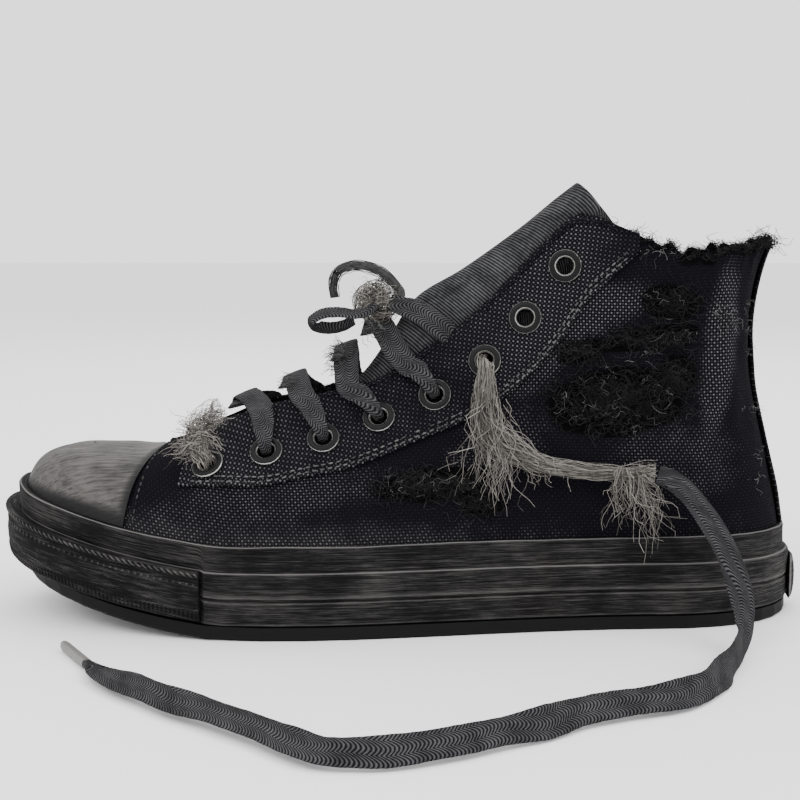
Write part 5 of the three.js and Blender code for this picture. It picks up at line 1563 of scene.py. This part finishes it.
class SNEAKER_OT_threads(bpy.types.Operator):
    """Adds the raw fringe of the collar and throat and the tangles over the worn places"""

    bl_idname = "sneaker.threads"
    bl_label = "Frayed threads"

    def execute(self, context):
        settings = context.scene.sneaker
        random = np.random.default_rng(7)
        black = thread_material("black_thread", (0.002, 0.002, 0.0024), (0.022, 0.0215, 0.022))
        grey = thread_material("grey_thread", (0.006, 0.006, 0.0065), (0.17, 0.166, 0.162))
        length = settings.fringe_length * 1000
        for sign, side in ((1, "outer"), (-1, "inner")):
            collar = [edge_fringe(random, 1250, sign, 0.70, 1.0, length * 0.3, lean=0.75),
                      edge_fringe(random, 70, sign, 0.71, 1.0, length * 0.7, lean=0.6),
                      edge_fringe(random, 170, sign, 0.97, 1.0, length * 0.45, lean=0.7),
                      edge_fringe(random, 560, sign, 0.34, 0.72, length * 0.26, lean=0.9)]
            lines = np.concatenate(collar)
            tones = random.uniform(0, 0.8, len(lines))
            dressed(strands(f"edge_fringe_{side}", lines, THREAD, tones), black)
            self.hem(sign, side)
        self.tufts(random, grey)
        for k, spot in enumerate(FRAYED):
            count = int(10 + spot[2] * spot[3] * 1.1)
            dark = patch_web(random, int(count * 1.6), spot, length=(3, 13))
            dressed(strands(f"worn_web_dark_{k + 1}", dark, 0.12, random.uniform(0, 1, len(dark))),
                    black)
            pale = patch_web(random, max(5, count // 12), spot, scale=0.8, out=(0.8, 2.4),
                             length=(2, 7))
            dressed(strands(f"worn_web_pale_{k + 1}", pale, 0.08,
                            random.uniform(0.1, 0.9, len(pale))), grey)
        return {"FINISHED"}

    def hem(self, sign, side):
        """The rough twisted hem along the throat's edge."""
        along = np.linspace(0.405, 0.735, HEM_POINTS)
        t = along if sign > 0 else 2 - along
        stand = lap_over(t) + 1.1 + noise(along * 60, along, 23) * 0.4
        line = wall_point(t, np.full(HEM_POINTS, 0.985), stand)
        way = unit(np.gradient(line, axis=0))
        out = last_normal(t, 0.97)
        across = unit(np.cross(way, out))
        gone = way_along(line)

        def place(a, b):
            i = np.rint(a * (HEM_POINTS - 1)).astype(int)
            angle = 2 * np.pi * b
            twist = 0.28 * np.cos(2 * angle + gone[i] * 1.9) + 0.2 * noise(gone[i] * 0.8, angle, 24)
            ends = np.sqrt(np.clip(np.minimum(i, HEM_POINTS - 1 - i) / 6, 0.05, 1))
            r = (HEM_RADIUS + twist) * ends
            return (line[i] + out[i] * (np.sin(angle) * r * 0.8)[:, None]
                    + across[i] * (-np.cos(angle) * r)[:, None] * (1 if sign > 0 else -1))

        def fields(a, b, points):
            return {"fray_and_shade": 0.25 + 0 * a, "pale": 0.35 + 0 * a, "dust": 0 * a}

        roll = surface(f"throat_hem_{side}", HEM_POINTS - 1, 14, place, fields=fields, fill=True)
        dressed(roll, MADE["canvas"])

    def tufts(self, random, grey):
        """Small sprays of torn threads that stand out from the canvas."""
        sets = []
        for x, z, where, count, length in TUFTS:
            count = count // 3
            jitter = random.normal(0, 1.0, (2, count)) * np.array([[2.2], [1.4]])
            t, rise = side_to_wall(x + jitter[0], z + jitter[1], where)
            starts = canvas_place(t / 2, rise)
            ways = unit(last_normal(t, rise) * 0.45 + random.normal(0, 0.7, (count, 3)))
            lengths = length * random.uniform(0.5, 1.6, count)
            sets.append(curled(random, starts, ways, lengths, curl=0.3, droop=0.35))
        lines = np.concatenate(sets)
        piece = strands("torn_tufts", lines, 0.1, random.uniform(0, 0.9, len(lines)))
        dressed(piece, grey)


class SNEAKER_OT_laces(bpy.types.Operator):
    """Laces the throat and lays the loose ends"""

    bl_idname = "sneaker.laces"
    bl_label = "Laces"

    def execute(self, context):
        settings = context.scene.sneaker
        # Lace colours: the dark one is painted shade between the strands, the light one their
        # painted highlight
        lace = lace_material("lace", (0.004, 0.004, 0.0048), (0.068, 0.067, 0.070), 1.25)
        grey = thread_material("frayed_lace_thread", (0.010, 0.009, 0.008), (0.26, 0.243, 0.222))
        dark = thread_material("dark_lace_thread", (0.006, 0.006, 0.007), (0.085, 0.083, 0.082))
        width = settings.lace_width * 1000
        for order, (eyelet, edge, top, tuck) in enumerate(CROSSINGS):
            bands = [
                crossing_band(f"crossing_{order + 1}_{side}", sign, eyelet, edge, top, tuck, width)
                for sign, side in ((1, "outer"), (-1, "inner"))
            ]
            alone(bands[0])
            bands[1].select_set(True)
            bpy.ops.object.join()
            piece = bands[0]
            piece.name = f"lace_bars_{order + 1}"
            dressed(piece, lace, [f"lace_crossing_{order + 1}"])
        self.long_lace(settings, lace, dark)
        self.frayed(grey, dark)
        route = evened(spline(KNOT_BAR, 200), KNOT_BAR_POINTS)
        span = np.linspace(0, 1, KNOT_BAR_POINTS)
        facing = np.tile(unit(np.array([-0.35, -0.75, 0.55])), (KNOT_BAR_POINTS, 1))
        widths = np.interp(span, [0, 0.25, 0.8, 1], [6.0, 8.4, 8.6, 7.6])
        bar = ribbon("knot_lace_bar", route, facing, widths, THIN_LACE, uneven=0.3, seed=88)
        dressed(bar, lace)
        self.fringes("throat_tangle", np.random.default_rng(91), dark, THROAT_TANGLE)
        self.fringes("knot_fuzz", np.random.default_rng(92), grey, KNOT_FUZZ)
        return {"FINISHED"}

    def long_lace(self, settings, lace, dark):
        """The flat lace from the side to the floor, with its tip."""
        width = settings.long_lace_width * 1000
        line = evened(spline(LONG_LACE, 900), LONG_POINTS)
        normals = []
        for i, (_, _, z) in enumerate(LONG_LACE):
            if z > 9:
                normals.append((0.45, -0.9, 0.1))
            elif i < 10:
                normals.append((0.6, -0.6, 0.5))
            else:
                normals.append((0.25, -0.62, 0.78))
        knots = spline(normals, 900)
        span = np.arange(LONG_POINTS) / (LONG_POINTS - 1)
        turned = between(np.linspace(0, 1, LONG_POINTS), np.linspace(0, 1, 900), knots)
        sway = np.stack([np.sin(span * 40), np.cos(span * 33), 0 * span], -1)
        turned = unit(turned + 0.12 * sway)
        widths = width * (1 - 0.62 * smooth(0.955, 1.0, span))
        widths = widths * (1 - 0.3 * (1 - smooth(0, 0.03, span)))
        widths = widths * (1 + 0.05 * np.sin(span * 55) + 0.04 * np.sin(span * 90 + 1))
        band = ribbon("long_flat_lace", line, turned, widths, LONG_LACE_THICK, uneven=0.25, seed=71)
        dressed(band, lace, ["long_lace"])
        end, before = line[-1], line[-12]
        way = unit((end - before) * np.array([1, 1, 0]))
        tip_line = end + way * np.linspace(0.3, 0.3 + TIP_LENGTH, TIP_POINTS)[:, None]
        tip_line[:, 2] = 2.0
        widths = 3.3 - 0.5 * smooth(0.9, 1, np.linspace(0, 1, TIP_POINTS))
        tip = ribbon("lace_end_tip", tip_line, np.tile([0.0, 0.0, 1.0], (TIP_POINTS, 1)), widths,
                     TIP_THICK)
        metal = plain_material("tip_plastic", (0.14, 0.135, 0.13), 0.4, 0.3)
        dressed(tip, metal, ["lace_tip"])

    def bundle(self, name, route, nodes, spread, count, radius, material, seed, diameter,
               flat=0.4, far_end="bare", tone=(0.1, 1.0), wander=1.0, facing=(0.3, -1.0, 0.25),
               extra=(), split=0.0):
        """A frayed lace: many threads that follow one line, spread apart as it goes.

        Every third thread is whole. The others start and end up to a share split from the ends.
        """
        random = np.random.default_rng(seed)
        steps = THREAD_POINTS
        line = evened(spline(route, 400), steps)
        way = unit(np.gradient(line, axis=0))
        side = unit(np.cross(way, np.array(facing)))
        up = np.cross(side, way)
        share = np.linspace(0, 1, steps)
        grow = np.interp(share, np.linspace(0, 1, len(spread)), spread)
        u0, v0 = random.normal(0, 0.42, (2, count, 1))
        freq = random.uniform(1.5, 5, (2, count, 1))
        phase = random.uniform(0, 2 * np.pi, (2, count, 1))
        u = (u0 + 0.3 * wander * np.sin(freq[0] * 2 * np.pi * share + phase[0])) * grow
        v = (v0 + 0.5 * wander * np.sin(freq[1] * 2 * np.pi * share + phase[1])) * grow * flat
        limit = 0.65 * diameter + 1.5
        hold = np.minimum(1, limit / np.maximum(np.hypot(u, v), 1e-6))
        u, v = u * hold, v * hold
        lines = line[None] + side[None] * u[..., None] + up[None] * v[..., None]
        whole = np.arange(count) % 3 == 0
        first = np.where(whole, 0, (random.uniform(0, split, count) * steps).astype(int))
        last = np.where(whole, steps, ((1 - random.uniform(0, split, count)) * steps).astype(int))
        cut = np.linspace(0, 1, THREAD_CUT)[None] * (last - first - 1)[:, None] + first[:, None]
        low = np.minimum(cut.astype(int), steps - 2)
        part = (cut - low)[..., None]
        rows = np.arange(count)[:, None]
        lines = lines[rows, low] * (1 - part) + lines[rows, low + 1] * part
        piece = strands(name, lines, radius, random.uniform(*tone, count))
        dressed(piece, material, nodes)
        return line

    def frayed(self, grey, dark):
        """The frayed lace over the side, its knot end, the bow loop and the toe tuft."""
        random = np.random.default_rng(90)
        side_route = self.out_of(5) + SIDE_LACE
        side_fringe = self.fringes("side_lace_fringe", random, grey, SIDE_FRINGE)
        self.bundle("frayed_side_lace", side_route, ["side_lace"],
                    [2.3, 3.0, 4.8, 6.8, 4.8, 2.8, 2.6, 2.8, 4.0], 200, THREAD, grey, 81, 8.0,
                    far_end="object", flat=0.3, extra=[side_fringe], split=0.25)
        tuft_fringe = self.fringes("toe_tuft_fringe", random, grey, TUFT_FRINGE)
        self.bundle("frayed_toe_tuft", self.out_of(0) + TOE_TUFT, ["toe_tuft"],
                    [2.0, 3.2, 4.4, 5.0, 5.4], 110, THREAD, grey, 82, 6.0, extra=[tuft_fringe],
                    split=0.3)
        self.bundle("fluffy_knot", KNOT, ["lace_knot"], [3.2, 4.6, 4.6, 4.6], 130, KNOT_THREAD,
                    grey, 83, 5.0, flat=0.8, wander=1.6, split=0.5, tone=(0.0, 0.9))
        self.bundle("thin_lace_arch", THIN_ARCH, ["thin_arch"], [2.2, 2.4, 2.4, 2.2], 90,
                    KNOT_THREAD, dark, 84, 3.6, tone=(0.2, 0.8), wander=0.3, flat=0.5)
        loop = evened(spline(BOW_LOOP, 300), LOOP_POINTS)
        spread = np.linspace(0, 1, LOOP_POINTS)
        ahead = unit(np.gradient(loop, axis=0))
        inward = unit(np.cross(ahead, np.array([0.0, -1.0, 0.0])))
        faces = unit(inward * 0.75 + np.array([0.05, -0.75, 0.3]))
        band = ribbon("flat_bow_loop", loop, faces, 4.6 + 1.4 * np.sin(spread * np.pi), THIN_LACE,
                      uneven=0.3, seed=85)
        dressed(band, MADE["lace"], ["bow_loop"])

    def fringes(self, name, random, material, table):
        """Loose threads that hang or spray from the listed places, joined in one piece."""
        sets = []
        for place, way, count, spread, length in table:
            starts = np.array(place) + random.normal(0, 1, (count, 3)) * np.array(spread)
            ways = unit(np.array(way) + random.normal(0, 0.22, (count, 3)))
            lengths = length * random.uniform(0.35, 1.0, count)
            sets.append(curled(random, starts, ways, lengths, steps=9, curl=0.16, droop=0.05))
        lines = np.concatenate(sets)
        piece = strands(name, lines, THREAD, random.uniform(0.1, 1.0, len(lines)))
        return dressed(piece, material)

    @staticmethod
    def out_of(order):
        """Two points that lead a cord out of an eyelet of the outer side."""
        along, rise = EYELETS[order]
        seat = float(lap_over(along)) + STAY_OVER + CLEARANCE + EYELET_EASE + FLANGE
        return [tuple(wall_point(along, rise, out)) for out in (-0.8, seat + 1.2)]


def crossing_band(name, sign, eyelet, edge, top, tuck, width):
    """Half a lace bar: out of its eyelet, over the throat edge and across the tongue."""
    along, rise = EYELETS[eyelet]
    start = along if sign > 0 else 2 - along
    lip = edge if sign > 0 else 2 - edge
    middle_place = along * 0.45 + edge * 0.55
    middle = middle_place if sign > 0 else 2 - middle_place
    middle_rise = rise * 0.45 + 0.55
    seat = float(lap_over(start)) + STAY_OVER + CLEARANCE + EYELET_EASE + FLANGE
    y = -1.0 if sign > 0 else 1.0
    points = [
        wall_point(start, rise, -2.5), wall_point(start, rise, seat - 0.6),
        wall_point(start * 0.85 + middle * 0.15, rise * 0.85 + middle_rise * 0.15, seat + 2.0),
        wall_point(middle, middle_rise, float(lap_over(middle)) + STAY_OVER + 3.6),
        wall_point(lip, 1.0, float(lap_over(lip)) + STAY_OVER + 2.6),
        np.array([top[0], 1.2 * y, top[1] + (0.9 if sign > 0 else -0.9)]),
        np.array([tuck[0] - 1.0, -7.5 * y, tuck[1] - 0.6]),
    ]
    faces = [
        last_normal(start, rise), last_normal(start, rise), last_normal(start, rise),
        last_normal(middle, middle_rise),
        unit(last_normal(lip, 0.98) + np.array([0, 0, 0.6])),
        unit(np.array([-0.3, 0.25 * y, 1.0])), unit(np.array([-0.3, 0.0, 1.0])),
    ]
    line = evened(spline(points, 300), BAR_POINTS)
    turned = unit(spline(faces, BAR_POINTS))
    span = np.linspace(0, 1, BAR_POINTS)
    widths = np.interp(span, [0, 0.1, 0.28, 0.5, 1], [3.6, 4.2, width * 0.8, width, width])
    return ribbon(name, line, turned, widths, LACE_THICK, uneven=0.3,
                  seed=eyelet * 3 + (sign > 0))


# Camera: place in the shoe's own frame, tilt in degrees and focal length in millimetres
CAMERA_PLACE = (0.0, -520.0, 141.5)
CAMERA_TILT = 83.2
CAMERA_LENS = 61.55
FLOOR_SIZE = 14.0
SKY_STRENGTH = 1.9
# Height that the lights are aimed at, in metres
AIM_HEIGHT = 0.06
LIGHTS = [
    # name, place in metres, size, watts
    ("key_light", (-0.55, -0.75, 1.15), 0.9, 11.0),
    ("fill_light", (0.75, -0.45, 0.95), 0.8, 6.0),
    ("rear_light", (0.1, 0.85, 1.0), 0.9, 7.0),
]


class SNEAKER_OT_stage(bpy.types.Operator):
    """Sets the pale floor, the soft light and the camera"""

    bl_idname = "sneaker.stage"
    bl_label = "Stage"

    def execute(self, context):
        scene = context.scene
        camera = bpy.data.objects.new("camera", bpy.data.cameras.new("camera"))
        context.collection.objects.link(camera)
        camera.location = metres(CAMERA_PLACE).tolist()
        camera.rotation_euler = (math.radians(CAMERA_TILT), 0.0, 0.0)
        camera.data.lens = CAMERA_LENS
        camera.data.sensor_width = 36.0
        camera.data.clip_start = 0.01
        scene.camera = camera
        bpy.ops.object.select_all(action="DESELECT")
        bpy.ops.mesh.primitive_plane_add(size=FLOOR_SIZE, location=(0.0, 0.0, 0.0))
        floor = context.object
        floor.name = "pale_floor"
        white = Paint("floor_white", roughness=0.9, specular=0.1)
        white.set(Base_Color=(0.86, 0.86, 0.865, 1.0))
        floor.data.materials.append(white.material)
        world = bpy.data.worlds.new("studio")
        scene.world = world
        world.use_nodes = True
        sky = world.node_tree.nodes["Background"]
        sky.inputs["Color"].default_value = (1.0, 1.0, 1.0, 1.0)
        sky.inputs["Strength"].default_value = SKY_STRENGTH
        for name, place, size, watts in LIGHTS:
            light = bpy.data.lights.new(name, "AREA")
            light.size = size
            light.energy = watts
            lamp = bpy.data.objects.new(name, light)
            context.collection.objects.link(lamp)
            lamp.location = place
            way = -np.array(place) + np.array([0, 0, AIM_HEIGHT])
            lamp.rotation_euler = (
                math.atan2(math.hypot(way[0], way[1]), -way[2]), 0.0,
                math.atan2(way[1], way[0]) - math.pi / 2)
        return {"FINISHED"}


class SNEAKER_PT_pieces(bpy.types.Panel):
    """Lists the sneaker's sizes and pieces"""

    bl_label = "Sneaker"
    bl_idname = "SNEAKER_PT_pieces"
    bl_space_type = "VIEW_3D"
    bl_region_type = "UI"
    bl_category = "Sneaker"

    def draw(self, context):
        for key in SneakerSettings.__annotations__:
            self.layout.prop(context.scene.sneaker, key)
        for operator in OPERATORS:
            self.layout.operator(operator.bl_idname)


OPERATORS = (
    SNEAKER_OT_stage, SNEAKER_OT_laces, SNEAKER_OT_sole, SNEAKER_OT_upper, SNEAKER_OT_tongue,
    SNEAKER_OT_eyelets, SNEAKER_OT_stitches, SNEAKER_OT_threads,
)
CLASSES = (SneakerSettings, *OPERATORS, SNEAKER_PT_pieces)


def register():
    """Adds the classes and the scene's settings."""
    for one in CLASSES:
        bpy.utils.register_class(one)
    bpy.types.Scene.sneaker = bpy.props.PointerProperty(type=SneakerSettings)


def unregister():
    """Takes the classes and the settings away again."""
    del bpy.types.Scene.sneaker
    for one in reversed(CLASSES):
        bpy.utils.unregister_class(one)


def main():
    """Builds every piece in order."""
    register()
    bpy.ops.sneaker.stage()
    bpy.ops.sneaker.laces()
    bpy.ops.sneaker.sole()
    bpy.ops.sneaker.upper()
    bpy.ops.sneaker.tongue()
    bpy.ops.sneaker.eyelets()
    bpy.ops.sneaker.stitches()
    bpy.ops.sneaker.threads()


if __name__ == "__main__":
    main()
